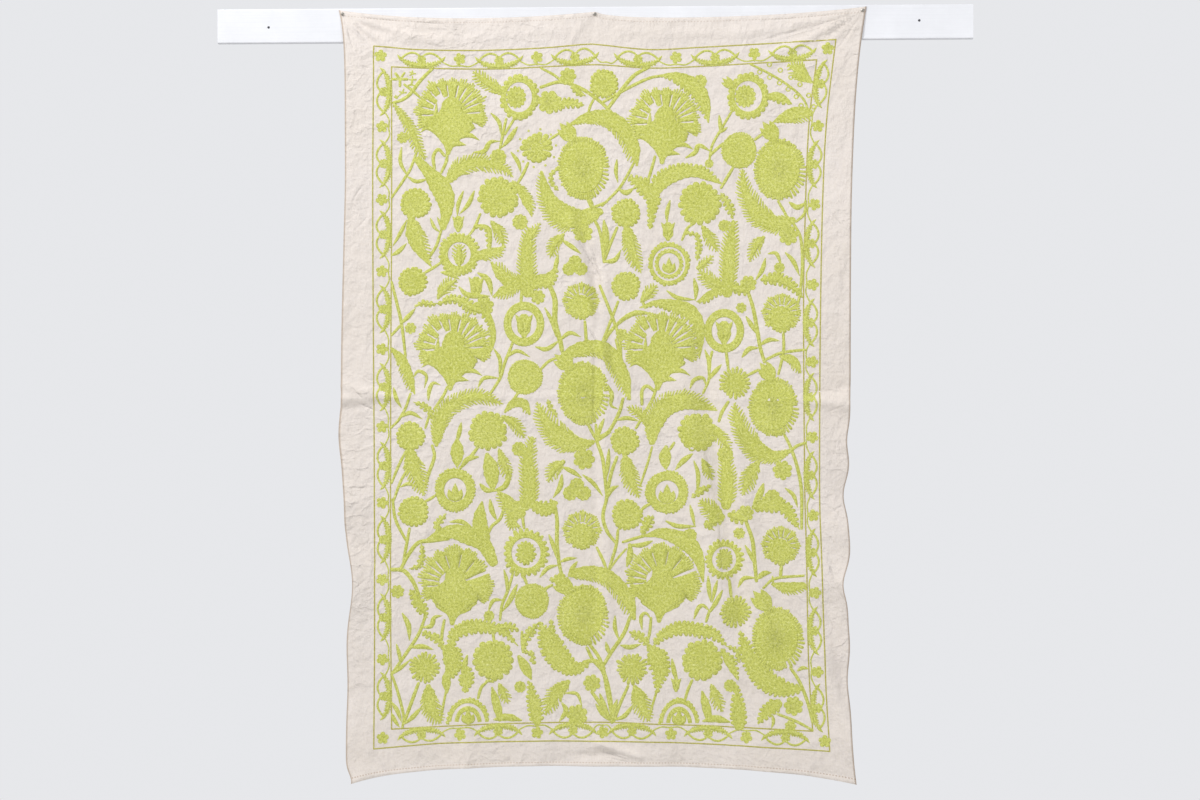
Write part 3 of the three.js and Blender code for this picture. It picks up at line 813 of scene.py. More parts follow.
def ribbon(to, line, left, right=None, lift=1.0):
    """A band of stitches along a line. left and right are its half widths at even shares of its length."""
    right = left if right is None else right
    slim = max(*left, *right) < SLIM
    middle, ahead, along = smooth_line(line, RIBBON_STEPS[0] if slim else RIBBON_STEPS[1])
    sides = np.stack([spaced(left, len(along)), spaced(right, len(along))])
    waver = 0.04 * np.sin(along * 0.8 + random.uniform(0, 6)) + 0.03 * np.sin(along * 1.9)
    sides = sides * (1 + waver)
    past, share = np.array(ROUND_END).T
    start, end = sides[:, 0].mean(), sides[:, -1].mean()
    middle = np.concatenate([middle[0] - ahead[0] * past[::-1, None] * start, middle,
                             middle[-1] + ahead[-1] * past[:, None] * end])
    sides = np.concatenate([sides[:, :1] * share[::-1], sides, sides[:, -1:] * share], 1)
    run = np.concatenate([-past[::-1] * start, along, along[-1] + past * end])
    ahead = np.concatenate([ahead[[0, 0, 0]], ahead, ahead[[-1, -1, -1]]])
    beside = np.stack([ahead[:, 1], -ahead[:, 0]], -1)
    q = (SLIM_SECTION if slim else FULL_SECTION)[None, :]
    half = np.where(q > 0, sides[0][:, None], sides[1][:, None])
    out = half * q
    chart = middle[:, None] + beside[:, None] * out[..., None]
    height = lift * (1 - DOME * np.abs(q) ** 3) * np.minimum(1, half / 0.9) ** 0.5
    height[:, [0, -1]] = SKIRT
    height[[0, -1], :] = SKIRT
    stitch = np.stack([out, run[:, None] + 0 * out], -1) * CLOTH_PIXEL
    # Painted shade towards the band's rims.
    to.patch(chart, height, stitch, 0.5 * np.abs(q) ** 4)


# Fingers: their section in shares of the half width, the turns of their rounded tip, the heights along them
# in shares of their lift, and how much longer or wider one may be, as a share.
FINGER_SECTION = np.array([1, 0.8, -0.8, -1])
CAP_TURN = np.radians([0, 35, 65, 90])
FINGER_HEIGHTS = np.array([0, 1, 1, 0.95, 0.7, 0])[:, None]
FINGER_SPREAD = 0.12


def fingers(to, roots, tips, root_half, tip_half, cap=1.0, lift=1.0):
    """Small bands of stitches side by side, each from its root to its tip, with their half widths there. cap
    is the length of the rounded tip in shares of its half width."""
    way = np.asarray(tips, float) - roots
    longer, wider = 1 + FINGER_SPREAD * random.uniform(-1, 1, (2, len(way), 1))
    length = np.linalg.norm(way, axis=1, keepdims=True)
    way /= length
    beside = np.stack([way[:, 1], -way[:, 0]], -1)
    cap_share = np.minimum(0.85, cap * tip_half / length)
    cap_run = 1 - cap_share * (1 - np.sin(CAP_TURN))
    run = np.concatenate([0 * cap_share, 0.5 * (1 - cap_share), cap_run], 1) * longer * length
    cap_half = tip_half * np.maximum(0.08, np.cos(CAP_TURN))
    half = np.concatenate([[root_half, (root_half + tip_half) / 2], cap_half])
    out = (half * wider)[..., None] * FINGER_SECTION
    chart = np.asarray(roots)[:, None, None] + way[:, None, None] * run[..., None, None]
    chart = chart + beside[:, None, None] * out[..., None]
    height = np.full(out.shape, lift) * FINGER_HEIGHTS
    height[:, :, [0, -1]] = SKIRT
    height[:, [0, -1]] = SKIRT
    stitch = np.stack([out, run[..., None] + 0 * out], -1) * CLOTH_PIXEL
    # Painted shade towards the fingers' sides.
    to.patch(chart, height, stitch, 0.4 * np.abs(FINGER_SECTION) ** 4)


# Teeth along a leaf's side. Columns: pixels from tooth to tooth, depth, forward lean, half widths at the
# root and near the tip in shares of the pitch, length of the tip's cap in shares of its half width, share
# of the depth that stands clear of the leaf's body.
TEETH = {
    "comb": (3.2, 7.0, 1.0, 0.5, 0.29, 2.4, 0.72),
    "short": (3.3, 5.2, 0.9, 0.5, 0.3, 2.2, 0.74),
    "lobed": (4.6, 3.8, 0.5, 0.55, 0.46, 1.0, 0.75),
    "fine": (2.5, 1.8, 0.6, 0.5, 0.42, 1.2, 0.7),
}
# The deepest cut into a leaf, as a share of its half width, and the thinnest half width that has teeth.
DEEPEST = 0.74
THINNEST = 1.6
# How far a tooth or petal may stand from its even place, in shares of the pitch.
UNEVEN = 0.13


def leaf(to, line, widths, edge, sides, lift=1.2):
    """A leaf with toothed sides, from its foot to its tip. sides names them, L for left and R for right."""
    pitch, depth, lean, root_half, tip_half, cap, clear = TEETH[edge]
    middle, ahead, along = smooth_line(line, 1.0)
    beside = np.stack([ahead[:, 1], -ahead[:, 0]], -1)
    half = spaced(widths, len(along))
    cut = np.minimum(depth, DEEPEST * half)
    body = {"L": widths, "R": widths}
    for side, name in ((1, "L"), (-1, "R")):
        if name not in sides:
            continue
        body[name] = list(half - clear * cut)
        root = middle + beside * (side * 0.8 * (half - cut))[:, None]
        tip = middle + beside * (side * half)[:, None] + ahead * (lean * cut)[:, None]
        run = np.cumsum(np.hypot(*np.diff(tip, axis=0, prepend=tip[:1]).T))
        places = np.arange(0.5, run[-1] / pitch) * pitch
        places = places[np.interp(places, run, half) > THINNEST]
        places = places + UNEVEN * pitch * random.uniform(-1, 1, len(places))
        root, tip = (np.stack([np.interp(places, run, end[:, k]) for k in (0, 1)], -1) for end in (root, tip))
        fingers(to, root, tip, root_half * pitch, tip_half * pitch, cap, lift=0.9 * lift)
    ribbon(to, line, body["L"], body["R"], lift=lift)


# The small round that closes the middle of a disc of spokes, as a share of it.
EYE = 0.17
# Rows from the middle of a disc, or from the hole of a ring, to the rim.
DISC_ROWS = np.array([0.004, 0.25, 0.5, 0.75, 0.96, 1, 1])
RING_ROWS = np.array([0, 0, 0.12, 0.5, 0.88, 1, 1])


def disc(to, at, radii, teeth=0, depth=0.0, hole=0.0, arc=None, lift=1.2, turn=0.0, spokes=False):
    """A filled or ringed round, with lobes if it has teeth. arc gives a part of the turn, in degrees
    clockwise from the right. Its stitches run around it, or outwards as spokes."""
    rx, ry = radii if isinstance(radii, tuple) else (radii, radii)
    steps = max(round(8 + 2.2 * max(rx, ry)), 6 * teeth)
    whole = arc is None
    arc = (0, 360) if whole else arc
    angle = np.radians(np.linspace(*arc, round(steps * (arc[1] - arc[0]) / 360) + 1))
    crest = np.abs(np.sin(angle / 2 * teeth))[:, None] ** 0.6 if teeth else np.ones((len(angle), 1))
    if hole:
        f = RING_ROWS[None, :]
        edge = np.abs(2 * f - 1)
        grow = np.where(f > 0.5, edge, 0)
        f = hole + (1 - hole) * f
    else:
        f = DISC_ROWS[None, :]
        edge = f
        grow = np.clip((f - 0.4) / 0.6, 0, 1)
    reach = f * (1 - depth * (1 - crest) * grow)
    around = angle[:, None] + math.radians(turn)
    chart = np.stack([at[0] + rx * reach * np.cos(around), at[1] + ry * reach * np.sin(around)], -1)
    # Painted shade in the notches between lobes, which are also lower.
    groove = (1 - crest) * grow
    height = lift * (1 - DOME * edge**4) * (1 - 0.4 * groove)
    height[:, -1] = SKIRT
    if hole:
        height[:, 0] = SKIRT
    if not whole:
        height[[0, -1], :] = SKIRT
    size = (rx + ry) / 2 * CLOTH_PIXEL
    around_run, out_run = angle[:, None] * size * 0.7 + 0 * reach, reach * size
    stitch = np.stack([around_run, out_run] if spokes else [out_run, around_run], -1)
    to.patch(chart, height, stitch, groove)
    if spokes and whole and not hole:
        disc(to, at, (EYE * rx, EYE * ry), lift=lift + 0.05)


# Tips of the fingers of a fringe: half width in shares of the pitch, length of the cap in half widths.
ROUND_TIP = (0.54, 1.0)
BROAD_TIP = (0.52, 1.0)
SHARP_TIP = (0.5, 1.9)
LONG_TIP = (0.38, 1.2)
THIN_TIP = (0.44, 1.4)


def fringe(to, at, radii, inner, teeth, tip=ROUND_TIP, arc=(0, 360), lift=1.1):
    """Fingers all round, from an inner share of the radii to the radii."""
    rx, ry = radii if isinstance(radii, tuple) else (radii, radii)
    angle = np.radians(np.linspace(*arc, teeth, endpoint=False)) + random.uniform(0, 0.1)
    angle += UNEVEN * math.radians(arc[1] - arc[0]) / teeth * random.uniform(-1, 1, teeth)
    rim = 1 + 0.02 * np.sin(3 * angle + random.uniform(0, 6))
    ray = np.stack([rx * rim * np.cos(angle), ry * rim * np.sin(angle)], -1)
    pitch = math.radians(arc[1] - arc[0]) * (rx + ry) / 2 / teeth
    tip_half, cap = tip
    roots, tips = at + inner * ray, at + ray
    fingers(to, roots, tips, 0.62 * inner * pitch, tip_half * pitch, cap, lift)


# Petals of a fan: the pitch of their fringe, where the slit beside one is open, as a share of the outer
# radius, and their rows outwards and across.
FRINGE_PITCH = 2.6
SLIT_START = 0.4
PETAL_ROWS = np.array([0, 0.06, 0.18, 0.3, 0.42, 0.54, 0.66, 0.78, 0.9, 1])
PETAL_SECTION = np.array([-1, -1, -0.5, 0, 0.5, 1, 1])
# Where its body ends and its fringe begins, in shares of its outer radius.
PETAL_BODY = 0.92
FRINGE_FOOT = 0.72


def petal(to, at, start, end, inner, outer, gap, lift=1.2):
    """A fringed petal of a fan between two angles, in degrees clockwise from straight up. gap is the ragged
    bare slit beside it, which closes towards the middle of the fan."""
    f, a = PETAL_ROWS[None, :], PETAL_SECTION[:, None]
    wedge = inner + (PETAL_BODY * outer - inner) * f
    ragged = 1 + 0.45 * np.sin(2.1 * wedge + start)
    slit = np.degrees(gap * ragged * np.clip((wedge / outer - SLIT_START) / 0.1, 0.1, 1) / wedge)
    turn = np.radians(a * (end - start - slit) / 2)
    angle = turn + math.radians((start + end) / 2)
    chart = np.stack([at[0] + wedge * np.sin(angle), at[1] - wedge * np.cos(angle)], -1)
    height = lift * (0.8 + 0.2 * (1 - a**4)) + 0 * f
    height[[0, -1], :] = SKIRT
    height[:, [0, -1]] = SKIRT
    stitch = np.stack([wedge * np.sin(turn), wedge * np.cos(turn)], -1) * CLOTH_PIXEL
    # Painted shade towards the petal's sides.
    to.patch(chart, height, stitch, 0.4 * np.abs(a) ** 4 + 0 * f)
    teeth = max(2, round(math.radians(end - start) * outer / FRINGE_PITCH))
    share = (np.arange(teeth) + 0.5) / teeth
    turn = np.radians(start + (end - start) * share)
    ray = np.stack([np.sin(turn), -np.cos(turn)], -1)
    reach = outer * (1 - 0.1 * (2 * share - 1) ** 2 + 0.03 * math.sin(start))
    pitch = (math.radians(end - start) * outer - gap) / teeth
    roots, tips = at + FRINGE_FOOT * outer * ray, at + ray * reach[:, None]
    fingers(to, roots, tips, 0.5 * pitch, 0.5 * pitch, 1.1, 0.9 * lift)


def turned(points, at, angle=0.0):
    """Points of a small motif, turned clockwise by an angle in degrees and moved to their place."""
    c, s = math.cos(math.radians(angle)), math.sin(math.radians(angle))
    p = np.asarray(points, float)
    return np.stack([at[0] + c * p[:, 0] - s * p[:, 1], at[1] + s * p[:, 0] + c * p[:, 1]], -1)


# Petals of the carnations. Columns: from, to, in degrees from straight up, where they begin.
SLIT_PETALS = [
    (-119, -92, 0.2), (-92, -76, 0.46), (-76, -60, 0.5), (-60, -43, 0.5), (-43, -26, 0.62), (-26, -8, 0.48),
    (-8, 14, 0.3), (14, 30, 0.3), (30, 44, 0.3), (44, 57, 0.3), (57, 69, 0.3), (69, 86, 0.3), (86, 113, 0.2),
]
FULL_PETALS = [
    (-120, -94, 0.3), (-94, -80, 0.4), (-80, -67, 0.42), (-67, -54, 0.42), (-54, -40, 0.4), (-40, -18, 0.3),
    (-18, 12, 0.3), (12, 40, 0.3), (40, 66, 0.3), (71, 124, 0.3),
]

# A carnation's bulb and cup. Columns: share of the size down from its middle, half width in shares of it.
CUP = [
    (-0.5, 0.04), (-0.43, 0.15), (-0.33, 0.24), (-0.2, 0.28), (-0.08, 0.3), (0.05, 0.48), (0.2, 0.64),
    (0.33, 0.66), (0.43, 0.58), (0.55, 0.42), (0.68, 0.28), (0.82, 0.16), (0.95, 0.08), (1.04, 0.06),
]
# Its sepals, in shares of its size from its middle.
SEPALS = [
    ((-0.1, 0.75), (-0.42, 0.46), (-0.66, 0.37), (-0.84, 0.48)),
    ((0.0, 0.66), (0.3, 0.56), (0.55, 0.58), (0.76, 0.7)),
    ((-0.08, 0.85), (0.12, 0.78), (0.4, 0.83)),
]


def carnation(to, at, size, full=False):
    """Fringed petals around a bulb, over a cup with three sepals, or with toothed sides if it is full."""
    for start, end, inner in FULL_PETALS if full else SLIT_PETALS:
        rim = size * (1 + 0.035 * math.sin(1.7 * start) + 0.05 * math.cos(math.radians(start + end) / 2))
        petal(to, at, start, end, inner * size, rim, gap=0.5 if full and start > -40 else 1.3)
    downs, halves = zip(*CUP)
    places = np.linspace(downs[0], downs[-1], 12)
    line = [(at[0] - 0.08 * size * max(0, down), at[1] + down * size) for down in places]
    halves = list(np.interp(np.linspace(downs[0], downs[-1], 24), downs, halves) * size)
    ribbon(to, line, halves, lift=1.5)
    if full:
        widths = [0.05 * size, 0.14 * size, 0.4 * size, 0.66 * size, 0.62 * size, 0.4 * size]
        leaf(to, [line[-1], line[-4], line[6]], widths, "comb", "LR", lift=1.3)
    else:
        spike = turned([(-0.42 * size, 0.1 * size), (-0.4 * size, -0.32 * size)], at)
        ribbon(to, spike, [2.6, 2.4, 1.4, 0.3], lift=1.3)
        for sepal in SEPALS:
            ribbon(to, turned([(x * size, y * size) for x, y in sepal], at), [2.5, 3.8, 2.6, 0.3], lift=1.4)


def palmette(to, at, size):
    """Slit petals all round but for the foot, over a toothed cup."""
    for start in range(-140, 125, 22):
        petal(to, at, start, start + 22, 0.36 * size, size * (1 - 0.05 * (start % 4)), gap=1.0)
    fringe(to, (at[0], at[1] + 0.3 * size), (0.66 * size, 0.66 * size), 0.6, 20)
    disc(to, (at[0], at[1] + 0.28 * size), 0.5 * size, lift=1.4)


def rosette(to, at, size):
    """Broad petals around a lobed core, in a circle of dots."""
    fringe(to, at, size, 0.2, 14, BROAD_TIP)
    disc(to, at, 0.4 * size, teeth=14, depth=0.1, lift=1.4)
    for i in range(10):
        disc(to, turned([(0, -1.2 * size)], at, 36 * i + 10)[0], 1.2, lift=1.0)


def spiky(to, at, size):
    """Thin petals around a broad lobed core."""
    fringe(to, at, size, 0.3, 21, THIN_TIP)
    disc(to, at, 0.62 * size, teeth=21, depth=0.1, lift=1.4)


def tulip(to, at, size):
    """A deep cup with two outward ears."""
    x, y = at
    cup = [share * size for share in (0.3, 0.62, 0.68, 0.66, 0.5)]
    ribbon(to, [(x, y + size), (x, y - 0.62 * size)], cup)
    for side in (-1, 1):
        ear = [(0.2 * side, 0.5), (0.42 * side, -0.3), (0.85 * side, -1.05)]
        ear = turned([(across * size, down * size) for across, down in ear], at)
        ribbon(to, ear, [0.2 * size, 0.3 * size, 0.3 * size, 0.22 * size, 0.1], lift=1.2)


def three_leaves(to, at, size):
    """Three pointed leaves from one foot."""
    for turn, length in ((-30, 0.85), (0, 1.15), (30, 0.85)):
        line = [(0, 0), (turn / 300 * size, -0.5 * size * length), (0, -size * length)]
        widths = [0.1 * size, 0.24 * size, 0.27 * size, 0.16 * size, 0.1]
        ribbon(to, turned(line, at, turn), widths, lift=1.2)


def bud(to, at, angle, size):
    """A cup that opens in three points."""
    for turn, length in ((-30, 0.85), (0, 1.0), (30, 0.85)):
        side = turn / 30 * size
        line = [(0, 0), (0.2 * side, -0.5 * size), (0.28 * side, -size * length)]
        widths = [0.1 * size, 0.2 * size, 0.22 * size, 0.14 * size, 0.3]
        ribbon(to, turned(line, at, angle), widths, lift=1.3)


def trefoil(to, at, size):
    """Three lobed rounds that touch."""
    for angle in (-100, 0, 100):
        disc(to, turned([(0, -0.75 * size)], at, angle)[0], 0.85 * size, teeth=9, depth=0.12, spokes=True)


# Plain heads of many petals. Columns: petals, where they begin, the core's share.
HEADS = {"peony": (17, 0.62, 0.8), "aster": (19, 0.68, 0.83)}


def head(to, at, size, kind):
    """Petals all round a broad core with a raised eye."""
    petals, inner, core = HEADS[kind]
    fringe(to, at, size, inner, petals)
    disc(to, at, core * size, lift=1.2, spokes=True)
    disc(to, at, 0.42 * size, teeth=petals, depth=0.12, lift=1.35)


MOTIFS = {"palmette": palmette, "rosette": rosette, "spiky": spiky, "tulip": tulip, "trefoil": trefoil}
# Small lobed rounds. Columns: lobes, depth between them.
LOBED_ROUNDS = {"blossom": (7, 0.24), "knob": (9, 0.14)}


def flower(to, kind, x, y, size):
    """Any flower of the field's chart."""
    at = (x, y)
    if kind in ("carnation", "full_carnation"):
        carnation(to, at, size, full=kind == "full_carnation")
    elif kind in HEADS:
        head(to, at, size, kind)
    elif kind in MOTIFS:
        MOTIFS[kind](to, at, size)
    else:
        teeth, depth = LOBED_ROUNDS[kind]
        disc(to, at, size, teeth=teeth, depth=depth, turn=random.uniform(0, 30), spokes=True)


# Where an oval has a fine edge and where it has long fingers, and a half ring's arc, in degrees clockwise
# from the right.
FINE_EDGE = (65, 360)
LONG_FINGERS = (0, 65)
UPPER_HALF = (180, 360)


def round_motif(to, kind, x, y, rx, ry):
    """Any round or ring of the field's chart."""
    at, radii = (x, y), (rx, ry)
    if kind == "oval":
        fringe(to, at, radii, 0.7, 52, arc=FINE_EDGE)
        fringe(to, at, (1.04 * rx, 1.04 * ry), 0.6, 8, LONG_TIP, arc=LONG_FINGERS)
        disc(to, at, (0.9 * rx, 0.9 * ry), lift=1.15, arc=FINE_EDGE, spokes=True)
        disc(to, at, (0.78 * rx, 0.78 * ry), lift=1.25, spokes=True)
    elif kind == "disc":
        fringe(to, at, radii, 0.8, 44)
        disc(to, at, (0.95 * rx, 0.95 * ry), lift=1.25)
    elif kind == "scalloped_ring":
        fringe(to, at, radii, 0.7, 21)
        disc(to, at, (0.88 * rx, 0.88 * ry), hole=0.72)
        disc(to, (x - 3, y), (0.5 * rx, 0.48 * ry), teeth=13, depth=0.16, spokes=True)
    elif kind == "tulip_ring":
        disc(to, at, radii, teeth=36, depth=0.02, hole=0.62)
        tulip(to, (x, y + 1), 0.5 * rx)
    elif kind == "spiky_ring":
        fringe(to, at, radii, 0.68, 23, SHARP_TIP)
        disc(to, at, (0.84 * rx, 0.84 * ry), hole=0.72, spokes=True)
        fringe(to, at, (0.46 * rx, 0.52 * ry), 0.5, 15, SHARP_TIP)
        disc(to, at, (0.32 * rx, 0.37 * ry), lift=1.3)
    elif kind == "fringed_ring":
        fringe(to, at, radii, 0.66, 30)
        disc(to, at, (0.88 * rx, 0.88 * ry), hole=0.62, spokes=True)
        cone = [(x, y + 0.5 * ry), (x, y), (x, y - 0.5 * ry)]
        leaf(to, cone, [0.2 * rx, 0.36 * rx, 0.38 * rx, 0.26 * rx, 0.1], "short", "LR")
    elif kind == "double_ring":
        fringe(to, at, radii, 0.78, 32)
        disc(to, at, (0.92 * rx, 0.92 * ry), hole=0.82)
        disc(to, at, (0.68 * rx, 0.68 * ry), teeth=22, depth=0.1, hole=0.7)
        three_leaves(to, (x, y + 0.38 * ry), 0.6 * rx)
    elif kind == "thick_ring":
        fringe(to, at, radii, 0.8, 40)
        disc(to, at, (0.94 * rx, 0.94 * ry), hole=0.56)
        three_leaves(to, (x, y + 0.46 * ry), 0.72 * rx)
    elif kind == "half_ring":
        fringe(to, at, radii, 0.82, 17, arc=UPPER_HALF)
        disc(to, at, (0.94 * rx, 0.94 * ry), hole=0.82, arc=UPPER_HALF)
        disc(to, at, (0.62 * rx, 0.66 * ry), hole=0.7, arc=UPPER_HALF)
        three_leaves(to, at, 0.5 * ry)


# The border's two lines on each side, from corner to corner, with the places of its cartouches and flowers
# along it and the gaps that hold a bare stem.
BORDER = {
    "top": {
        "axis": 0,
        "outer": [(373, 45), (420, 49), (480, 50), (540, 48), (585, 44.5), (600, 45), (650, 50), (700, 48),
                  (760, 45), (835, 41)],
        "inner": [(391, 66), (440, 68), (500, 68.5), (560, 66), (600, 65), (650, 68.5), (700, 67), (760, 64),
                  (816, 61)],
        "cartouches": [421, 499, 575, 638, 715, 792],
        "flowers": [459.5, 537, 676, 754],
    },
    "right": {
        "axis": 1,
        "outer": [(835, 41), (826, 120), (822, 200), (820, 300), (819, 400), (819, 500), (821, 560),
                  (825, 680), (829, 750)],
        "inner": [(816, 61), (808, 130), (804, 240), (803, 320), (804, 480), (806, 560), (808, 660),
                  (812, 730)],
        "cartouches": [85, 165, 244, 323, 397, 475, 552, 630, 707],
        "flowers": [127, 205, 285, 362, 437, 515, 592, 671],
    },
    "bottom": {
        "axis": 0,
        "outer": [(373, 750), (440, 744), (500, 742), (600, 741), (700, 743), (760, 746), (829, 750)],
        "inner": [(391, 730), (440, 727), (500, 724), (600, 722), (660, 724), (720, 725.5), (812, 730)],
        "cartouches": [421, 498, 573, 632, 708, 785],
        "flowers": [460, 537, 603, 671, 746],
    },
    "left": {
        "axis": 1,
        "outer": [(373, 45), (372, 200), (373, 400), (374, 600), (373, 750)],
        "inner": [(391, 66), (391, 200), (390, 400), (390, 600), (391, 730)],
        "cartouches": [91, 163, 234, 309, 387, 466, 540, 618, 697],
        "flowers": [126, 199, 271, 349, 427, 503, 580, 660],
    },
}
CORNER_FLOWERS = [(380, 55), (827, 50), (824, 740), (382, 739)]
# Half widths of the border's lines and stalks.
LINE_HALVES = [0.7, 0.7]
# A cartouche's parts. Columns: pixels along its side from its middle, share of the way to the inner line.
CARTOUCHE = {
    "loop": [(21, 0.6), (16, 0.34), (10, 0.2), (4, 0.26), (-1, 0.5)],
    "tip": [(17, 0.66), (21, 0.55), (24, 0.36)],
    "leaf": [(-22, 0.52), (-13, 0.78), (0, 0.88), (13, 0.78), (22, 0.52)],
    "stalk": [(0, 0.75), (0.5, 1.02)],
}
# Stems between two cartouches: where they begin from a cartouche's middle, in pixels, and their points.
# Columns: share of the stem's length, share of the way to the inner line.
STEM_START = 20
STEM_POINTS = [(0, 0.62), (0.25, 0.86), (0.5, 0.84), (0.75, 0.88), (1, 0.62)]


def in_band(side, along, share):
    """A place in the border's band: how far along its side, and its share of the way to the inner line."""
    axis = side["axis"]
    across = [np.interp(along, *sorted_line(side[line], axis)) for line in ("outer", "inner")]
    place = across[0] + (across[1] - across[0]) * share
    return (along, place) if axis == 0 else (place, along)


def sorted_line(line, axis):
    """A line's places along its side, in order, and its places across it."""
    points = sorted(line, key=lambda point: point[axis])
    return [point[axis] for point in points], [point[1 - axis] for point in points]


def cartouche(to, side, middle):
    """Two thin loops towards the edge of the cloth, a toothed leaf towards the field and a bud in between."""
    def places(part, flip=1):
        return [in_band(side, middle + flip * along, share) for along, share in CARTOUCHE[part]]

    for flip in (-1, 1):
        ribbon(to, places("loop", flip), [1.2, 1.2, 1.0], lift=0.9)
        ribbon(to, places("tip", flip), [0.9, 1.9, 0.3], lift=1.0)
    leaf(to, places("leaf"), [1.0, 3.0, 3.4, 3.0, 3.4, 3.0, 1.0], "fine", "LR", lift=1.0)
    disc(to, in_band(side, middle, 0.58), 5.0, teeth=7, depth=0.26, lift=1.2, spokes=True)
    ribbon(to, places("stalk"), LINE_HALVES, lift=0.9)


def make_border(motifs, lines):
    """The border, side by side: its lines, cartouches, flowers and stems."""
    for side in BORDER.values():
        for line in ("outer", "inner"):
            ribbon(lines, side[line], LINE_HALVES, lift=0.8)
        for middle in side["cartouches"]:
            cartouche(motifs, side, middle)
        for middle in side["flowers"]:
            disc(motifs, in_band(side, middle, 0.48), 6.2, teeth=5, depth=0.34, turn=random.uniform(0, 70))
            ribbon(motifs, [in_band(side, middle, 0.6), in_band(side, middle, 0.88)], LINE_HALVES, lift=0.9)
        for before, after in zip(side["cartouches"], side["cartouches"][1:]):
            start, end = before + STEM_START, after - STEM_START
            stem = [in_band(side, start + (end - start) * step, share) for step, share in STEM_POINTS]
            ribbon(motifs, stem, [0.8, 0.8], lift=0.9)
    for corner in CORNER_FLOWERS:
        disc(motifs, corner, 6.4, teeth=5, depth=0.34, turn=20)


# The chart of the field. Columns: kind, across, down, size.
FLOWERS = [
    ("carnation", 451, 114, 37),
    ("carnation", 453, 349, 38),
    ("full_carnation", 455, 585, 37),
    ("carnation", 665, 124, 37),
    ("carnation", 661, 349, 38),
    ("full_carnation", 662, 582, 37),
    ("palmette", 581, 301, 20),
    ("palmette", 582, 530, 21),
    ("palmette", 781, 313, 21),
    ("palmette", 780, 545, 21),
    ("rosette", 537, 148, 16),
    ("spiky", 735, 383, 16),
    ("spiky", 735, 611, 16),
    ("spiky", 424, 668, 16),
    ("spiky", 632, 668, 16),
    ("peony", 498, 197, 21),
    ("peony", 488, 431, 20),
    ("peony", 493, 660, 21),
    ("peony", 700, 204, 22),
    ("peony", 697, 432, 20),
    ("peony", 702, 660, 21),
    ("aster", 415, 203, 16),
    ("aster", 410, 436, 15),
    ("aster", 626, 213, 15),
    ("aster", 625, 441, 15),
    ("aster", 412, 281, 15),
    ("aster", 413, 512, 16),
    ("aster", 626, 286, 15),
    ("aster", 627, 515, 16),
    ("aster", 604, 84, 15),
    ("blossom", 568, 76, 8.5),
    ("blossom", 583, 233, 10),
    ("blossom", 584, 459, 11),
    ("blossom", 788, 236, 10),
    ("blossom", 782, 470, 10),
    ("blossom", 592, 683, 9),
    ("blossom", 793, 705, 10),
    ("blossom", 484, 306, 10),
    ("blossom", 748, 284, 8.5),
    ("blossom", 745, 513, 8.5),
    ("blossom", 739, 533, 6),
    ("blossom", 538, 297, 7.5),
    ("blossom", 741, 308, 5.5),
    ("blossom", 397, 592, 7),
    ("blossom", 402, 137, 6),
    ("blossom", 577, 715, 11),
    ("blossom", 790, 725, 6),
    ("blossom", 410, 328, 6),
    ("blossom", 622, 335, 6.5),
    ("blossom", 549, 102, 12),
    ("knob", 498, 157, 8.5),
    ("knob", 520, 222, 8),
    ("knob", 519, 449, 7.5),
    ("knob", 520, 687, 6),
    ("knob", 724, 226, 6),
    ("knob", 725, 454, 8),
    ("knob", 730, 685, 6.5),
    ("knob", 709, 164, 4.5),
    ("knob", 489, 616, 5.5),
    ("knob", 779, 268, 5.5),
    ("knob", 772, 497, 8),
    ("knob", 700, 82, 7),
    ("knob", 690, 535, 7),
    ("trefoil", 575, 268, 8),
    ("trefoil", 577, 492, 9),
    ("tulip", 458, 223, 7),
    ("tulip", 476, 286, 9),
    ("tulip", 668, 231, 8),
    ("tulip", 676, 684, 6),
]

# Rounds. Columns: kind, across, down, half width, half height.
ROUNDS = [
    ("oval", 583, 168, 26, 32),
    ("oval", 583, 393, 26, 32),
    ("oval", 583, 615, 26, 31),
    ("oval", 779, 170, 26, 31),
    ("oval", 773, 407, 25, 30),
    ("oval", 777, 638, 26, 32),
    ("disc", 525, 377, 18, 18),
    ("disc", 532, 601, 17.5, 18),
    ("disc", 739, 151, 18, 18.5),
    ("scalloped_ring", 519, 97, 20.5, 23.5),
    ("scalloped_ring", 748, 97, 21.5, 24),
    ("tulip_ring", 524, 324, 20.5, 22.5),
    ("tulip_ring", 724, 331, 20, 22),
    ("spiky_ring", 526, 553, 24, 25),
    ("spiky_ring", 724, 559, 20, 21),
    ("fringed_ring", 459, 254, 21, 22),
    ("double_ring", 669, 264, 21.5, 22.5),
    ("thick_ring", 455, 490, 21, 22.5),
    ("thick_ring", 667, 492, 22, 22),
    ("half_ring", 468, 723.5, 22, 26),
    ("half_ring", 679, 724, 21, 27),
]

# Buds of three points. Columns: foot across, foot down, turn in degrees, size.
BUDS = [
    (574, 140, -40, 22),
    (572, 368, -52, 22),
    (572, 590, -62, 22),
    (776, 140, -38, 22),
    (773, 379, -40, 21),
    (769, 608, -42, 24),
    (733, 88, -50, 14),
]

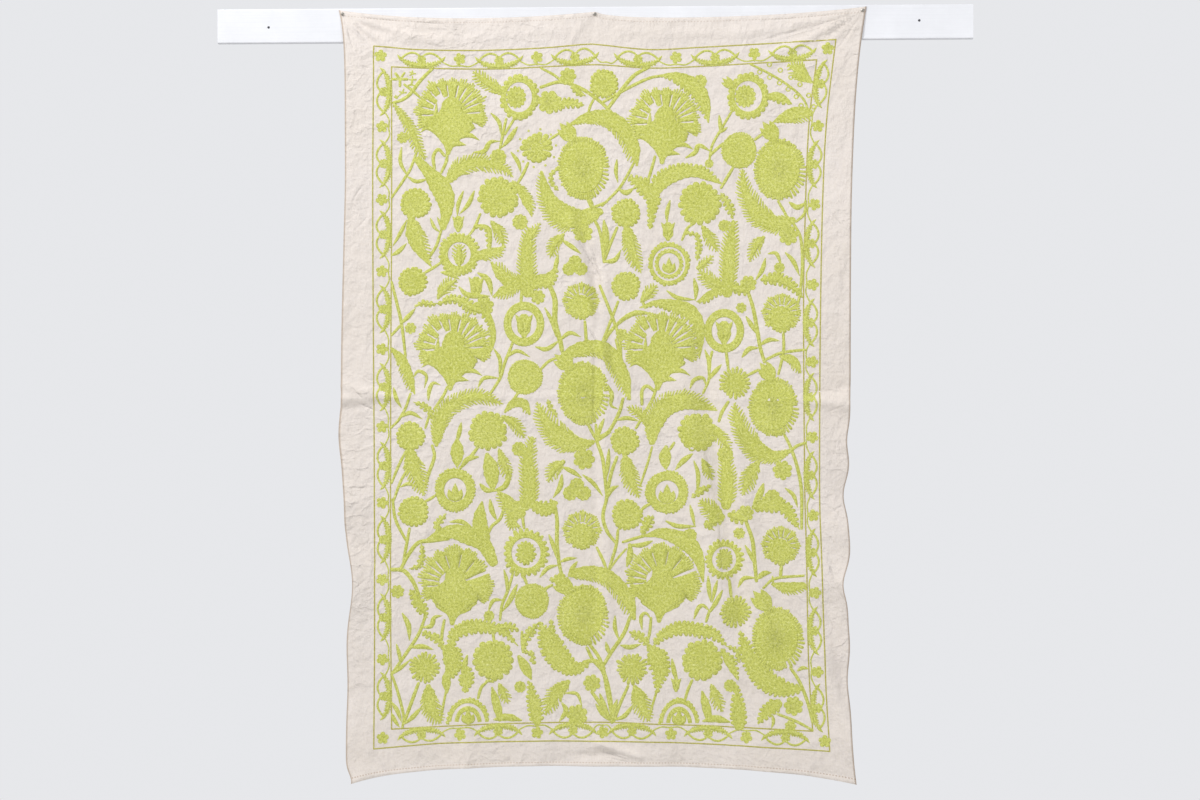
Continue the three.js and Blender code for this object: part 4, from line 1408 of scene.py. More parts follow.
# Leaves and toothed stems, each from its foot to its tip. Columns: edge, toothed sides, half widths, points.
LEAVES = [
    # first repeat of the left column
    ("short", "LR", (2, 5, 7, 7.5, 6, 3), (393, 103), (402, 115), (411, 130), (417, 145), (424, 158)),
    ("short", "LR", (4, 7.5, 8, 7, 1), (503, 93), (494, 87), (484, 80), (473, 71)),
    ("lobed", "LR", (9, 10, 6, 6, 5, 1), (546, 101), (558, 104), (567, 103), (576, 104), (584, 105)),
    ("lobed", "R", (1, 3.5, 3.5, 1), (571, 86), (577, 92), (585, 96)),
    ("comb", "R", (2, 6.5, 9.5, 10.5, 9.5, 8.5, 1),
     (572, 124), (588, 119), (606, 120), (622, 131), (632, 150), (637, 166)),
    ("lobed", "LR", (2, 3, 3, 2), (559, 168), (552, 174), (552, 183), (558, 190)),
    ("comb", "LR", (4.5, 10.5, 9.5, 8.5, 6.5, 1),
     (447, 182), (457, 170), (473, 163), (490, 164), (505, 169), (513, 177)),
    ("plain", "", (3, 6, 10, 10, 6, 4), (443, 227), (446, 210), (444, 195), (435, 180), (418, 160)),
    ("comb", "L", (5.5, 9.5, 13.5, 13.5, 9.5, 6.5, 2),
     (600, 213), (580, 220), (562, 217), (549, 203), (543, 187), (541, 172)),
    ("comb", "LR", (4.5, 7.5, 6.5, 1), (563, 235), (555, 244), (550, 258)),
    ("comb", "L", (5.5, 10.5, 9.5, 5.5, 1), (412, 219), (416, 235), (422, 250), (431, 266)),
    ("comb", "L", (1.5, 5.5, 6.5, 1), (513, 181), (522, 190), (529, 203), (532, 216)),
    ("short", "LR", (10, 10.5, 10, 9, 6), (528, 292), (527, 272), (527, 252), (528, 238), (530, 230)),
    ("comb", "LR", (4.5, 5, 1), (531, 238), (535, 231), (540, 223)),
    ("comb", "LR", (2, 7.5, 6.5, 1), (491, 221), (499, 232), (504, 247)),
    ("lobed", "L", (2, 3.5, 4, 2.5), (488, 252), (489, 240), (487, 229), (475, 226)),
    ("comb", "R", (6.5, 6.5, 5.5, 1), (480, 257), (490, 254), (498, 252), (505, 246)),
    ("comb", "R", (6.5, 8.5, 7.5, 1), (524, 284), (510, 279), (500, 271), (491, 262)),
    ("comb", "L", (6.5, 7.5, 6.5, 1), (522, 282), (511, 289), (502, 293), (493, 297)),
    ("lobed", "R", (5, 8, 7, 3), (532, 286), (541, 282), (549, 280), (556, 270)),
    ("comb", "LR", (1, 7.5, 7.5, 2), (437, 299), (441, 292), (448, 285), (456, 280)),
    # second repeat
    ("lobed", "LR", (1, 3.5, 3.5, 1), (414, 307), (422, 303), (430, 304), (438, 303)),
    ("lobed", "LR", (2, 5, 6, 7, 6), (438, 304), (450, 299), (461, 301), (470, 307), (478, 310)),
    ("lobed", "R", (5, 4, 4, 3.5, 1), (484, 312), (490, 323), (492, 336), (489, 349), (483, 360)),
    ("comb", "R", (2, 6, 6.5, 5.5, 1), (391, 349), (400, 360), (406, 374), (410, 385), (414, 394)),
    ("lobed", "LR", (3, 4, 4, 1), (434, 419), (428, 410), (421, 405), (413, 402)),
    ("comb", "LR", (4.5, 9.5, 10.5, 9.5, 8.5, 6.5, 1),
     (436, 445), (438, 428), (446, 411), (461, 401), (480, 397), (503, 404)),
    ("comb", "LR", (5.5, 11.5, 10.5, 7.5, 1), (409, 449), (412, 462), (417, 477), (424, 496)),
    ("comb", "LR", (2, 7, 6.5, 1), (502, 416), (514, 424), (525, 438)),
    ("comb", "R", (2, 5.5, 5.5, 2), (506, 411), (514, 404), (523, 404), (529, 414)),
    ("short", "LR", (10, 10.5, 10, 8, 4), (529, 503), (529, 483), (528, 462), (530, 448), (532, 438)),
    ("comb", "LR", (2, 7, 6.5, 1), (499, 449), (504, 464), (510, 481)),
    ("comb", "R", (5.5, 8.5, 9.5, 9.5, 8.5, 2),
     (564, 359), (575, 352), (591, 349), (607, 354), (620, 374), (629, 399)),
    ("lobed", "LR", (2, 3, 3, 2), (548, 400), (551, 408), (557, 417)),
    ("comb", "LR", (1, 8.5, 13.5, 14.5, 11.5, 7.5, 1),
     (597, 441), (583, 444), (568, 441), (555, 433), (545, 420), (537, 402)),
    ("comb", "LR", (5.5, 8.5, 6.5, 1), (563, 462), (554, 470), (548, 482)),
    ("comb", "L", (6.5, 8.5, 7.5, 1), (525, 508), (512, 508), (504, 500), (497, 491)),
    ("comb", "R", (5.5, 6.5, 6.5, 1), (522, 512), (512, 515), (513, 524), (520, 527)),
    ("lobed", "LR", (5, 8, 8, 5), (532, 505), (541, 508), (548, 508), (556, 503)),
    # third repeat
    ("plain", "", (1, 4, 7, 9, 8, 7, 5),
     (425, 541), (440, 534), (455, 532), (470, 537), (484, 545), (493, 562)),
    ("plain", "", (9, 8, 6, 1), (481, 538), (480, 526), (480, 515), (482, 502)),
    ("lobed", "LR", (2, 5, 4, 1), (437, 534), (438, 524), (446, 514)),
    ("lobed", "LR", (2, 3.5, 4, 1), (421, 545), (422, 555), (418, 566), (409, 569)),
    ("lobed", "LR", (3, 7, 7, 1), (410, 591), (417, 601), (427, 618)),
    ("lobed", "LR", (4, 7, 8, 8, 6, 4, 1),
     (450, 650), (455, 635), (468, 628), (486, 627), (503, 632), (518, 646)),
    ("lobed", "LR", (3, 5, 5, 3), (500, 628), (508, 627), (517, 629)),
    ("lobed", "LR", (2, 5, 5, 3), (444, 650), (437, 640), (423, 633)),
    ("lobed", "L", (5, 11, 10, 7, 2), (446, 648), (452, 656), (453, 667), (448, 680)),
    ("lobed", "LR", (2, 5, 5, 1), (523, 650), (527, 637), (539, 622)),
    ("lobed", "LR", (2, 3.5, 3), (524, 651), (531, 654), (533, 663)),
    ("plain", "", (2, 5, 5, 1), (519, 657), (525, 667), (531, 679)),
    ("lobed", "LR", (7, 8, 8, 5, 2), (537, 722), (535, 708), (532, 694), (529, 682)),
    ("comb", "LR", (5.5, 10.5, 10.5, 8.5, 1), (428, 687), (429, 700), (432, 711), (441, 724)),
    ("comb", "R", (5.5, 8.5, 9.5, 9.5, 8.5, 2),
     (572, 575), (588, 574), (605, 578), (618, 589), (628, 604), (634, 619)),
    ("lobed", "LR", (2, 3.5, 3.5, 2), (551, 620), (553, 632), (560, 642)),
    ("lobed", "LR", (3, 9, 13, 13, 9, 1), (588, 664), (575, 668), (561, 660), (550, 644), (540, 622)),
    ("comb", "LR", (5.5, 9.5, 8.5, 1), (568, 682), (556, 694), (545, 715)),
    ("lobed", "LR", (3, 8, 8, 3), (465, 692), (466, 684), (467, 676), (468, 668)),
    ("comb", "LR", (2, 6.5, 5.5, 1), (499, 684), (503, 693), (508, 704)),
    ("plain", "", (3, 4.5, 4, 1), (500, 719), (497, 707), (492, 688)),
    ("plain", "", (1, 4, 4, 1), (494, 720), (507, 717.5), (521, 720.5)),
    ("lobed", "LR", (2, 7, 6, 2), (550, 580), (560, 580), (571, 590)),
    # right column, first repeat
    ("lobed", "R", (1, 6, 9, 9, 6, 1), (660, 76), (677, 79), (694, 89), (703, 103), (708, 123)),
    ("lobed", "R", (3, 6, 5, 1), (768, 97), (778, 99), (791, 105)),
    ("comb", "LR", (1, 7.5, 10.5, 7.5, 1), (812, 84), (803, 77), (796, 70), (787, 66)),
    ("comb", "R", (1, 5.5, 8.5, 8.5, 6.5), (773, 123), (785, 119), (797, 116), (808, 115)),
    ("comb", "LR", (7.5, 11.5, 13.5, 10.5, 7.5, 2),
     (792, 221), (776, 224), (760, 216), (750, 203), (744, 188), (742, 170)),
    ("comb", "LR", (4.5, 7.5, 5.5, 1), (763, 238), (756, 246), (749, 262)),
    ("lobed", "L", (4, 9, 9, 7, 6, 1), (651, 198), (661, 181), (679, 172), (700, 172), (722, 184)),
    ("lobed", "LR", (3, 5, 9, 9, 4), (650, 228), (652, 212), (653, 200), (645, 188), (630, 178)),
    ("comb", "LR", (5.5, 9.5, 8.5, 6.5, 1), (626, 227), (630, 243), (634, 257), (641, 273)),
    ("lobed", "LR", (2, 5, 5, 1), (721, 194), (728, 205), (733, 219)),
    ("comb", "LR", (2, 7.5, 6.5, 1), (702, 226), (710, 239), (718, 252)),
    ("lobed", "LR", (2, 4, 3.5, 2), (697, 260), (699, 246), (696, 236), (686, 233)),
    ("comb", "LR", (4.5, 5.5, 4.5, 1), (698, 268), (705, 263), (713, 256)),
    ("short", "LR", (9, 10, 10, 8, 4), (727, 293), (728, 275), (729, 255), (731, 238), (733, 222)),
    ("comb", "LR", (5.5, 8.5, 7.5, 1), (724, 288), (712, 282), (698, 270)),
    ("lobed", "L", (4, 5, 5, 1), (722, 291), (712, 295), (704, 300), (697, 302)),
    ("lobed", "LR", (5, 7, 6, 3), (733, 288), (741, 290), (748, 293)),
    ("lobed", "LR", (5, 7, 7, 5, 1), (762, 280), (775, 279), (788, 284), (803, 298)),
    # right column, second repeat
    ("lobed", "R", (1, 4, 7, 9, 7, 5, 1),
     (640, 308), (656, 304), (675, 307), (690, 314), (698, 328), (699, 358)),
    ("comb", "LR", (2, 7.5, 6.5, 1), (641, 302), (648, 294), (657, 285)),
    ("comb", "R", (2, 5.5, 5.5, 1), (780, 357), (791, 361), (800, 373)),
    ("comb", "LR", (2, 7.5, 11.5, 12.5, 10.5, 8.5, 2),
     (791, 450), (775, 456), (758, 451), (746, 438), (738, 421), (734, 404)),
    ("comb", "LR", (6.5, 9.5, 7.5, 1), (757, 463), (749, 477), (742, 495)),
    ("comb", "L", (4.5, 10.5, 11.5, 10.5, 7.5, 1),
     (651, 442), (653, 423), (663, 407), (681, 400), (699, 403), (717, 410)),
    ("comb", "LR", (4.5, 6, 5.5, 1), (648, 424), (640, 414), (627, 407)),
    ("comb", "LR", (5.5, 9.5, 9.5, 6.5, 1), (625, 456), (628, 470), (632, 482), (639, 498)),
    ("comb", "LR", (2, 7.5, 6.5, 1), (711, 424), (720, 436), (731, 451)),
    ("comb", "LR", (2, 6, 5.5, 1), (702, 459), (707, 469), (712, 480)),
    ("lobed", "LR", (2, 4, 4, 1), (692, 497), (701, 491), (711, 485)),
    ("short", "LR", (9, 10, 10, 8, 5), (726, 505), (727, 490), (727, 475), (726, 462), (726, 450)),
    ("comb", "LR", (6.5, 9.5, 7.5, 2), (722, 517), (711, 510), (700, 500)),
    ("lobed", "LR", (4, 5, 4, 1), (722, 520), (712, 522), (707, 524), (714, 530)),
    ("lobed", "LR", (6, 7, 6, 3), (730, 515), (738, 517), (746, 520)),
    ("lobed", "LR", (5, 9, 8, 6, 1), (753, 507), (768, 504), (784, 508), (799, 529)),
    # right column, third repeat
    ("lobed", "LR", (2, 6, 6, 1), (642, 534), (646, 526), (653, 515)),
    ("plain", "", (1, 5, 7, 9, 7, 4, 1),
     (645, 536), (660, 533), (676, 537), (690, 545), (699, 560), (703, 581)),
    ("plain", "", (2, 3.5, 3.5, 1), (630, 545), (630, 555), (627, 566)),
    ("comb", "R", (2, 6, 6.5, 4.5), (772, 584), (787, 588), (803, 586)),
    ("lobed", "LR", (5, 10, 12, 11, 8, 2),
     (800, 688), (785, 688), (769, 682), (756, 668), (747, 652), (740, 631)),
    ("lobed", "LR", (8, 8, 6, 1), (777, 703), (766, 711), (758, 723)),
    ("lobed", "LR", (4, 7, 8, 8, 6, 1),
     (655, 643), (664, 634), (681, 628), (700, 630), (714, 634), (727, 646)),
    ("lobed", "LR", (2, 5, 5, 3), (650, 648), (642, 638), (630, 632)),
    ("lobed", "LR", (4, 12, 11, 6, 2), (650, 646), (657, 658), (660, 670), (657, 692)),
    ("comb", "LR", (5.5, 10.5, 9.5, 7.5, 1), (635, 687), (640, 700), (644, 710), (650, 721)),
    ("comb", "LR", (2, 7.5, 6.5, 1), (711, 684), (716, 697), (722, 711)),
    ("plain", "", (1, 4, 4, 1), (703, 720.5), (715, 718), (729, 721)),
    ("plain", "", (3, 4.5, 4, 1), (709, 719), (706, 706), (702, 691)),
    ("lobed", "L", (2, 6, 5, 1), (722, 649), (731, 662), (738, 679)),
    ("lobed", "LR", (2, 3.5, 3), (728, 646), (736, 650), (739, 661)),
    ("lobed", "LR", (8, 9, 8, 5, 2), (739, 725), (738, 710), (737, 697), (736, 684)),
]

# Slender leaves, pointed at both ends. Columns: half width, points.
SLENDER = [
    (2.2, (401, 147), (400, 162), (408, 177)),
    (2.2, (407, 176), (416, 181), (429, 178)),
    (2.2, (491, 113), (499, 122), (501, 135)),
    (3.0, (517, 127), (509, 139), (501, 148)),
    (2.8, (474, 152), (484, 151), (490, 142), (500, 141)),
    (2.4, (511, 152), (518, 162), (521, 173)),
    (2.4, (463, 191), (458, 204), (457, 216)),
    (2.6, (474, 191), (468, 204), (459, 214)),
    (2.2, (406, 220), (400, 232), (392, 246)),
    (2.6, (391, 255), (398, 251), (406, 243)),
    (2.0, (430, 218), (434, 227), (440, 232)),
    (1.8, (437, 217), (440, 224), (441, 231)),
    (2.6, (562, 240), (572, 247), (581, 254)),
    (2.6, (558, 255), (556, 265), (553, 276)),
    (3.0, (586, 193), (591, 204), (594, 213)),
    (2.6, (401, 323), (408, 316), (415, 308)),
    (2.0, (413, 377), (418, 371), (426, 376), (424, 388)),
    (2.4, (428, 400), (429, 390), (433, 383), (440, 385)),
    (2.4, (393, 388), (396, 399), (401, 408)),
    (2.4, (400, 417), (410, 413), (422, 419)),
    (2.0, (400, 487), (408, 484), (418, 488)),
    (2.6, (461, 423), (459, 433), (456, 444)),
    (6.8, (457, 440), (457, 454), (457, 468)),
    (3.0, (478, 457), (468, 459), (460, 467)),
    (8.0, (487, 455), (491, 470), (493, 492)),
    (3.0, (480, 484), (486, 490), (495, 491)),
    (3.2, (494, 491), (505, 486), (512, 469)),
    (2.2, (494, 349), (500, 360), (499, 376)),
    (2.2, (505, 358), (517, 351), (530, 357)),
    (2.2, (478, 387), (484, 378), (499, 378)),
    (2.2, (545, 308), (552, 322), (556, 337)),
    (2.6, (536, 347), (547, 349), (560, 340)),
    (2.4, (560, 340), (570, 333), (581, 337)),
    (2.8, (563, 467), (573, 472), (582, 478)),
    (3.0, (562, 475), (560, 487), (553, 498)),
    (2.4, (583, 475), (593, 483), (603, 496)),
    (2.6, (450, 522), (462, 522), (475, 531)),
    (3.0, (490, 500), (492, 511), (497, 521)),
    (3.0, (402, 614), (408, 626), (409, 641)),
    (2.8, (423, 628), (431, 626), (434, 618), (442, 616)),
    (3.4, (467, 656), (464, 668), (463, 684)),
    (4.6, (446, 672), (446, 682), (447, 694)),
    (2.2, (504, 570), (507, 583), (507, 597)),
    (3.0, (517, 585), (510, 600), (502, 612)),
    (2.2, (502, 600), (493, 601), (488, 612)),
    (2.6, (549, 535), (555, 550), (558, 562)),
    (2.4, (540, 577), (548, 568), (559, 565)),
    (2.2, (560, 562), (568, 559), (577, 558)),
    (2.6, (577, 562), (572, 569), (568, 577)),
    (2.6, (391, 703), (397, 712), (401, 723)),
    (2.4, (391, 714), (394, 721), (399, 728)),
    (2.6, (421, 708), (412, 718), (402, 726)),
    (2.2, (396, 645), (399, 656), (400, 666)),
    (2.2, (391, 675), (402, 667), (410, 660)),
    (2.8, (411, 648), (422, 647), (433, 650)),
    (3.0, (562, 703), (566, 711), (559, 722)),
    (2.0, (565, 693), (577, 694), (582, 706)),
    (2.2, (719, 116), (720, 125), (720, 134)),
    (1.8, (727, 128), (723, 131), (719, 134)),
    (2.8, (686, 158), (695, 153), (699, 146), (711, 152)),
    (3.0, (633, 189), (626, 193), (618, 189)),
    (2.2, (617, 160), (616, 172), (618, 183)),
    (2.8, (604, 262), (615, 260), (621, 250)),
    (4.0, (604, 221), (606, 240), (603, 260)),
    (2.4, (670, 201), (667, 213), (667, 224)),
    (3.0, (789, 203), (797, 208), (806, 203)),
    (2.6, (785, 253), (793, 262), (799, 276)),
    (2.2, (768, 254), (776, 254), (781, 266)),
    (2.6, (765, 259), (762, 270), (755, 281)),
    (2.8, (694, 279), (696, 290), (695, 301)),
    (2.4, (667, 291), (678, 298), (695, 300)),
    (3.0, (620, 320), (636, 313), (653, 314)),
    (2.6, (746, 317), (751, 325), (756, 334)),
    (2.8, (742, 357), (749, 349), (759, 348)),
    (2.6, (760, 345), (769, 340), (779, 341)),
    (2.4, (705, 350), (709, 362), (709, 378)),
    (2.6, (721, 365), (713, 374), (708, 381)),
    (2.4, (690, 388), (694, 380), (703, 378), (706, 386)),
    (2.4, (608, 385), (612, 395), (611, 405), (618, 409)),
    (2.4, (617, 420), (627, 418), (639, 421)),
    (2.8, (618, 486), (611, 490), (605, 501)),
    (2.4, (694, 461), (698, 475), (697, 496)),
    (6.2, (666, 447), (665, 458), (666, 470)),
    (3.2, (692, 454), (683, 461), (675, 470)),
    (4.0, (763, 484), (759, 495), (752, 506)),
    (2.2, (785, 488), (793, 495), (797, 507)),
    (2.2, (690, 505), (693, 518), (695, 527)),
    (2.6, (666, 521), (678, 526), (696, 526)),
    (2.8, (652, 541), (641, 545), (628, 545)),
    (2.2, (745, 545), (750, 554), (754, 564)),
    (2.4, (738, 587), (744, 578), (756, 577)),
    (3.2, (757, 578), (763, 573), (771, 572)),
    (2.6, (708, 576), (709, 590), (711, 602)),
    (2.2, (717, 580), (714, 592), (712, 602)),
    (2.6, (722, 590), (715, 603), (707, 615)),
    (2.4, (694, 618), (698, 608), (703, 605), (710, 611)),
    (2.4, (615, 616), (615, 628), (619, 640)),
    (2.8, (621, 645), (630, 647), (641, 644)),
    (2.4, (606, 642), (608, 650), (611, 656)),
    (2.2, (642, 629), (641, 617), (646, 613), (651, 619)),
    (2.8, (672, 659), (674, 671), (678, 683)),
    (2.6, (633, 705), (624, 716), (612, 720)),
    (3.0, (617, 700), (614, 710), (612, 721)),
    (3.0, (600, 694), (605, 708), (611, 721)),
    (2.6, (596, 704), (603, 714), (610, 721)),
    (2.0, (772, 714), (773, 721), (771, 727)),
    (2.2, (797, 670), (802, 667), (808, 668)),
    (2.4, (609, 449), (608, 464), (606, 480)),
    (2.4, (604, 419), (600, 429), (597, 441)),
    (1.8, (484, 684), (488, 681), (494, 683)),
    (3.2, (441, 272), (451, 274), (459, 279)),
    (3.2, (459, 287), (466, 294), (478, 296), (490, 296)),
    (3.4, (478, 273), (488, 280), (492, 296)),
]

# Stems. Columns: half width, points.
STEMS = [
    (2.0, (432, 68), (420, 80), (410, 93), (402, 99), (393, 102)),
    (1.6, (404, 84), (412, 90), (420, 97)),
    (1.6, (416, 152), (410, 168), (402, 181), (391, 197)),
    (1.8, (447, 152), (446, 161), (441, 172)),
    (2.0, (434, 168), (433, 156), (438, 149), (444, 155)),
    (1.7, (506, 119), (503, 133), (500, 148)),
    (1.5, (514, 119), (509, 127), (505, 134)),
    (1.8, (528, 163), (523, 174), (517, 184)),
    (2.0, (541, 87), (560, 82), (580, 88), (598, 100), (612, 113)),
    (1.5, (541, 68), (554, 75), (565, 84)),
    (1.5, (594, 99), (590, 107), (588, 116)),
    (1.6, (550, 139), (558, 134)),
    (1.7, (441, 229), (436, 245), (428, 258)),
    (1.6, (480, 214), (474, 228), (468, 236)),
    (1.7, (576, 213), (590, 209), (607, 202)),
    (1.8, (590, 213), (600, 232), (604, 262)),
    (1.7, (425, 272), (432, 268), (441, 262)),
    (1.8, (522, 290), (521, 302)),
    (3.0, (549, 284), (555, 300), (555, 322), (560, 340), (562, 350)),
    (1.8, (585, 322), (586, 336), (586, 348)),
    (1.8, (391, 282), (396, 302), (401, 324), (405, 356)),
    (1.6, (391, 335), (401, 324)),
    (1.7, (447, 387), (443, 396), (434, 409)),
    (1.6, (410, 394), (405, 408), (398, 420), (390, 428)),
    (1.5, (430, 412), (425, 428)),
    (1.6, (406, 450), (398, 466), (391, 483)),
    (1.6, (409, 466), (400, 482), (393, 501)),
    (2.0, (432, 446), (434, 457), (428, 475), (424, 489)),
    (2.0, (478, 447), (468, 460), (460, 468)),
    (1.7, (518, 393), (512, 402), (505, 412)),
    (1.8, (513, 342), (505, 362), (500, 378), (490, 394)),
    (1.7, (541, 369), (548, 362), (556, 358)),
    (1.8, (588, 424), (592, 432), (597, 441)),
    (2.0, (596, 425), (597, 441), (603, 460), (607, 498)),
    (1.7, (610, 432), (603, 437), (597, 441)),
    (1.6, (424, 502), (430, 499), (436, 495)),
    (1.8, (392, 500), (395, 520), (405, 540)),
    (1.8, (409, 529), (406, 545), (403, 562)),
    (2.2, (400, 570), (408, 555), (418, 543), (432, 541), (448, 539)),
    (1.8, (488, 534), (492, 526), (500, 519), (504, 508)),
    (2.4, (391, 570), (403, 571), (412, 581), (418, 594)),
    (1.9, (425, 617), (418, 635), (405, 655), (391, 675)),
    (1.8, (444, 621), (442, 632), (441, 645)),
    (1.4, (446, 690), (443, 706), (440, 722)),
    (1.8, (521, 498), (522, 512), (524, 528)),
    (2.2, (554, 502), (557, 520), (557, 545), (560, 568), (564, 580)),
    (1.7, (513, 573), (508, 590), (502, 605), (500, 620)),
    (1.7, (523, 574), (527, 585)),
    (1.7, (543, 590), (552, 585)),
    (1.7, (493, 634), (494, 642)),
    (1.7, (523, 652), (522, 640), (522, 632)),
    (1.7, (391, 675), (397, 692), (403, 716), (402, 728)),
    (2.0, (418, 684), (411, 703), (404, 722)),
    (1.8, (478, 698), (481, 688), (486, 683)),
    (1.8, (597, 548), (603, 560), (607, 571)),
    (2.0, (587, 648), (593, 660), (603, 672), (607, 690), (611, 712)),
    (2.0, (590, 645), (598, 656), (604, 668)),
    (2.4, (584, 662), (595, 661), (604, 668)),
    (2.2, (592, 692), (602, 706), (610, 719)),
    (2.2, (648, 68), (634, 76), (621, 91), (605, 113)),
    (1.8, (602, 103), (625, 90), (648, 79), (663, 76)),
    (1.5, (731, 113), (722, 128), (712, 146), (709, 162)),
    (1.7, (723, 144), (716, 150), (710, 156)),
    (1.8, (733, 168), (727, 178), (721, 188)),
    (1.6, (755, 140), (763, 134)),
    (1.7, (655, 157), (652, 168), (647, 184)),
    (1.6, (634, 163), (626, 178), (618, 190), (602, 206)),
    (1.8, (617, 228), (610, 245), (604, 262)),
    (1.6, (778, 202), (786, 216)),
    (1.7, (805, 202), (804, 214), (796, 222)),
    (1.8, (793, 224), (800, 238), (802, 262), (800, 290), (797, 306)),
    (1.6, (682, 240), (687, 229), (692, 225)),
    (1.7, (783, 334), (783, 352), (778, 374)),
    (1.8, (600, 286), (606, 301), (613, 319), (620, 342), (621, 376)),
    (1.7, (618, 302), (612, 318), (605, 336), (599, 352)),
    (2.0, (601, 350), (608, 335), (620, 322), (636, 313)),
    (1.6, (642, 300), (645, 308)),
    (1.7, (616, 340), (619, 352), (621, 366)),
    (2.2, (748, 293), (753, 309), (757, 331), (760, 348), (764, 362)),
    (1.7, (765, 360), (781, 353), (804, 350)),
    (1.7, (712, 352), (709, 366), (709, 379), (703, 393)),
    (1.8, (726, 352), (728, 368)),
    (1.9, (728, 402), (722, 412), (719, 421)),
    (1.7, (748, 375), (758, 370)),
    (1.8, (657, 385), (653, 398), (646, 411), (636, 428)),
    (2.0, (642, 404), (642, 391), (647, 386), (654, 391)),
    (2.0, (623, 399), (619, 413), (609, 431), (599, 437)),
    (1.4, (652, 447), (648, 462), (640, 486)),
    (2.0, (617, 457), (611, 474), (606, 500)),
    (1.7, (670, 449), (674, 443)),
    (1.9, (784, 435), (790, 447), (797, 468), (801, 492), (801, 528)),
    (1.8, (789, 452), (796, 446), (804, 443)),
    (1.8, (652, 503), (646, 506), (641, 510)),
    (2.0, (607, 498), (603, 516), (607, 531), (615, 542)),
    (1.8, (618, 530), (616, 546), (609, 569)),
    (1.3, (626, 549), (617, 559), (610, 569)),
    (1.7, (623, 542), (636, 538), (650, 534)),
    (2.2, (746, 522), (752, 540), (754, 560), (756, 580)),
    (1.6, (763, 587), (775, 578), (803, 575)),
    (1.2, (773, 584), (772, 576)),
    (1.9, (781, 565), (780, 577)),
    (1.7, (709, 611), (706, 621)),
    (1.8, (729, 580), (731, 597)),
    (1.7, (651, 618), (650, 630), (648, 640)),
    (2.2, (630, 617), (624, 633), (612, 651), (603, 666)),
    (2.2, (603, 668), (608, 686), (611, 704), (612, 722)),
    (1.8, (628, 686), (620, 704), (614, 721)),
    (1.4, (657, 690), (653, 703), (649, 718)),
    (1.7, (692, 680), (688, 689), (685, 699)),
    (1.9, (790, 667), (799, 681), (807, 701), (812, 721)),
    (1.6, (777, 713), (795, 720), (812, 729)),
    (1.4, (750, 65), (770, 75), (790, 88), (804, 102), (809, 120)),
]

# Small sprays. Columns: across, down, their rays' length, half width, and turns in degrees from the right.
SPRAYS = [
    (399.5, 78.5, 8, 1.5, (0, 90, 180, 232, 305)),
    (412, 73, 3.6, 0.9, (0, 150, 215, 270)),
    (412, 79, 4.0, 0.9, (0, 90, 180, 270)),
    (411, 84, 3.6, 0.9, (20, 170, 270)),
    (402, 92, 4.2, 0.9, (0, 140, 200, 290)),
    (396, 97, 3.4, 0.9, (200, 250, 320)),
]

# Curls on both sides of a stem. Columns: how many, how far from it, their radius, and the stem's points.
CURLS = [(12, 5.5, 2.7, (762, 68), (782, 79), (800, 94), (808, 110))]


def spray(to, across, down, length, half_width, turns):
    """Short rays from one point, over a small round."""
    angle = np.radians(turns)
    ray = np.stack([np.cos(angle), np.sin(angle)], -1)
    fingers(to, (across, down) + 0.2 * ray, (across, down) + length * ray, half_width, half_width)
    disc(to, (across, down), 1.5 * half_width, lift=1.1)


def curls(to, count, away, radius, *points):
    """Small rings on alternate sides of a stem."""
    middle, ahead, _ = smooth_line(points, 1.0)
    for i, place in enumerate(np.linspace(0, len(middle) - 1, count).astype(int)):
        side = 1 if i % 2 else -1
        centre = middle[place] + side * away * np.array([ahead[place, 1], -ahead[place, 0]])
        disc(to, centre, radius, hole=0.5, lift=0.8)


def make_field(flowers, rounds, leaves, stems):
    """All that the tables of the field hold, each kind gathered on its own."""
    for row in FLOWERS:
        flower(flowers, *row)
    for row in ROUNDS:
        round_motif(rounds, *row)
    for across, down, angle, size in BUDS:
        bud(flowers, (across, down), angle, size)
    for edge, sides, widths, *points in LEAVES:
        if sides:
            leaf(leaves, points, widths, edge, sides)
        else:
            ribbon(leaves, points, widths, lift=1.2)
    for width, *points in SLENDER:
        ribbon(stems, points, [0.3 * width, 0.9 * width, width, 0.7 * width, 0.3], lift=1.1)
    for width, *points in STEMS:
        ribbon(stems, points, [0.85 * width, width, width, 0.8 * width], lift=0.9)
    for row in SPRAYS:
        spray(stems, *row)
    for row in CURLS:
        curls(stems, *row)


# The stage, in metres: the floor, the surroundings' colour and strength as they light the cloth and as they
# are seen behind it, and the place that the soft boxes are turned to.
FLOOR = {"height": -2.4, "half_width": 5.0, "front": -7.0, "back": 1.35}
SKY = {"colour": (236, 237, 240), "light": 0.45, "seen": 0.95}
LIT_PLACE = (0, 0, -1.0)

# Soft boxes, set so that plain areas are as bright as in the photograph. Columns: name, place, size, watts.
LIGHTS = [
    ("key", (-4.0, -3.4, 4.0), 2.0, 361),
    ("fill", (4.0, -3.4, 0.6), 2.2, 73),
    ("back", (0.5, 4.0, 1.5), 3.0, 60),
]


def make_floor():
    x, front, back, z = FLOOR["half_width"], FLOOR["front"], FLOOR["back"], FLOOR["height"]
    corners = [(-x, front, z), (x, front, z), (x, back, z), (-x, back, z)]
    mesh = new_mesh("floor", corners, [[0, 1, 2, 3]], smooth=False)
    floor = bpy.data.objects.new("floor", mesh)
    bpy.context.scene.collection.objects.link(floor)
    mesh.materials.append(floor_material())


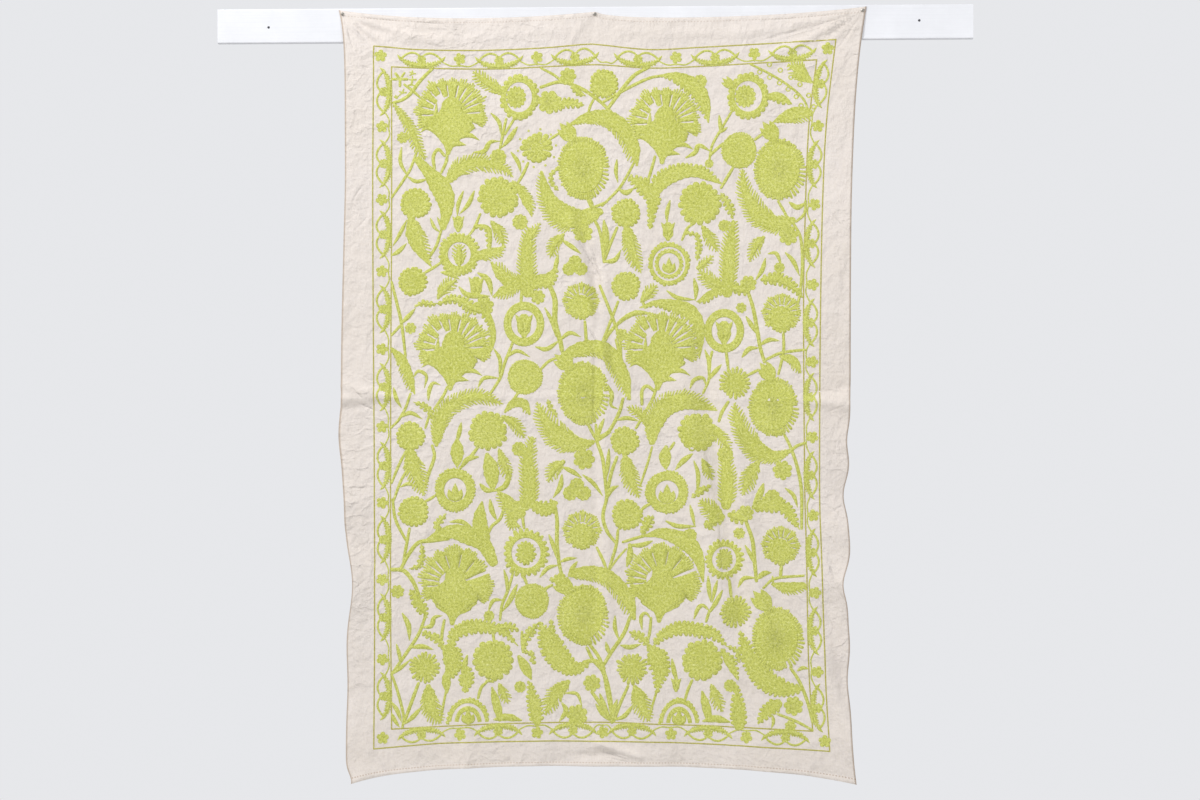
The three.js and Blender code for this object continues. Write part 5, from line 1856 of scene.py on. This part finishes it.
def make_sky():
    """Plain surroundings, brighter as the camera sees them than as they light the cloth."""
    world = bpy.data.worlds.new("studio")
    bpy.context.scene.world = world
    world.use_nodes = True
    nodes, links = world.node_tree.nodes, world.node_tree.links
    soft, seen = nodes["Background"], nodes.new("ShaderNodeBackground")
    for background, strength in ((soft, SKY["light"]), (seen, SKY["seen"])):
        background.inputs["Color"].default_value = srgb(*SKY["colour"])
        background.inputs["Strength"].default_value = strength
    choice = nodes.new("ShaderNodeMixShader")
    links.new(nodes.new("ShaderNodeLightPath").outputs["Is Camera Ray"], choice.inputs[0])
    links.new(soft.outputs[0], choice.inputs[1])
    links.new(seen.outputs[0], choice.inputs[2])
    links.new(choice.outputs[0], nodes["World Output"].inputs["Surface"])


def make_lights():
    for name, place, size, power in LIGHTS:
        light = bpy.data.lights.new(name, "AREA")
        light.shape = "SQUARE"
        light.size = size
        light.energy = power
        lamp = bpy.data.objects.new(name, light)
        lamp.location = place
        toward = Vector(LIT_PLACE) - Vector(place)
        lamp.rotation_mode = "QUATERNION"
        lamp.rotation_quaternion = toward.to_track_quat("-Z", "Y")
        bpy.context.scene.collection.objects.link(lamp)


def main():
    make_camera()
    cotton = cotton_material()
    lime, olive = thread_material("lime_thread"), thread_material("olive_thread")
    cloth = new_object("cloth_sheet", make_cloth(), cotton)
    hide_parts("cloth")

    kinds = ("flowers", "rounds", "leaves", "stems", "border", "border_lines")
    flowers, rounds, leaves, stems, motifs, lines = (Stitching("embroidery_" + kind) for kind in kinds)
    make_field(flowers, rounds, leaves, stems)
    make_border(motifs, lines)
    stitched = [gathered.make(lime) for gathered in (flowers, rounds, leaves, stems, motifs)]
    stitched.append(lines.make(olive))

    nickel, zinc = metal_material("tack_nickel"), metal_material("screw_zinc")
    finishes = {"batten": paint_material(), **{tack: nickel for tack, _, _ in TACKS}}
    finishes.update({screw: zinc for screw in SCREWS})
    for name, material in finishes.items():
        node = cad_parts[name]
        node.data.materials.clear()
        node.data.materials.append(material)

    make_floor()
    make_sky()
    make_lights()
    bpy.context.scene.view_settings.view_transform = "Standard"


main()
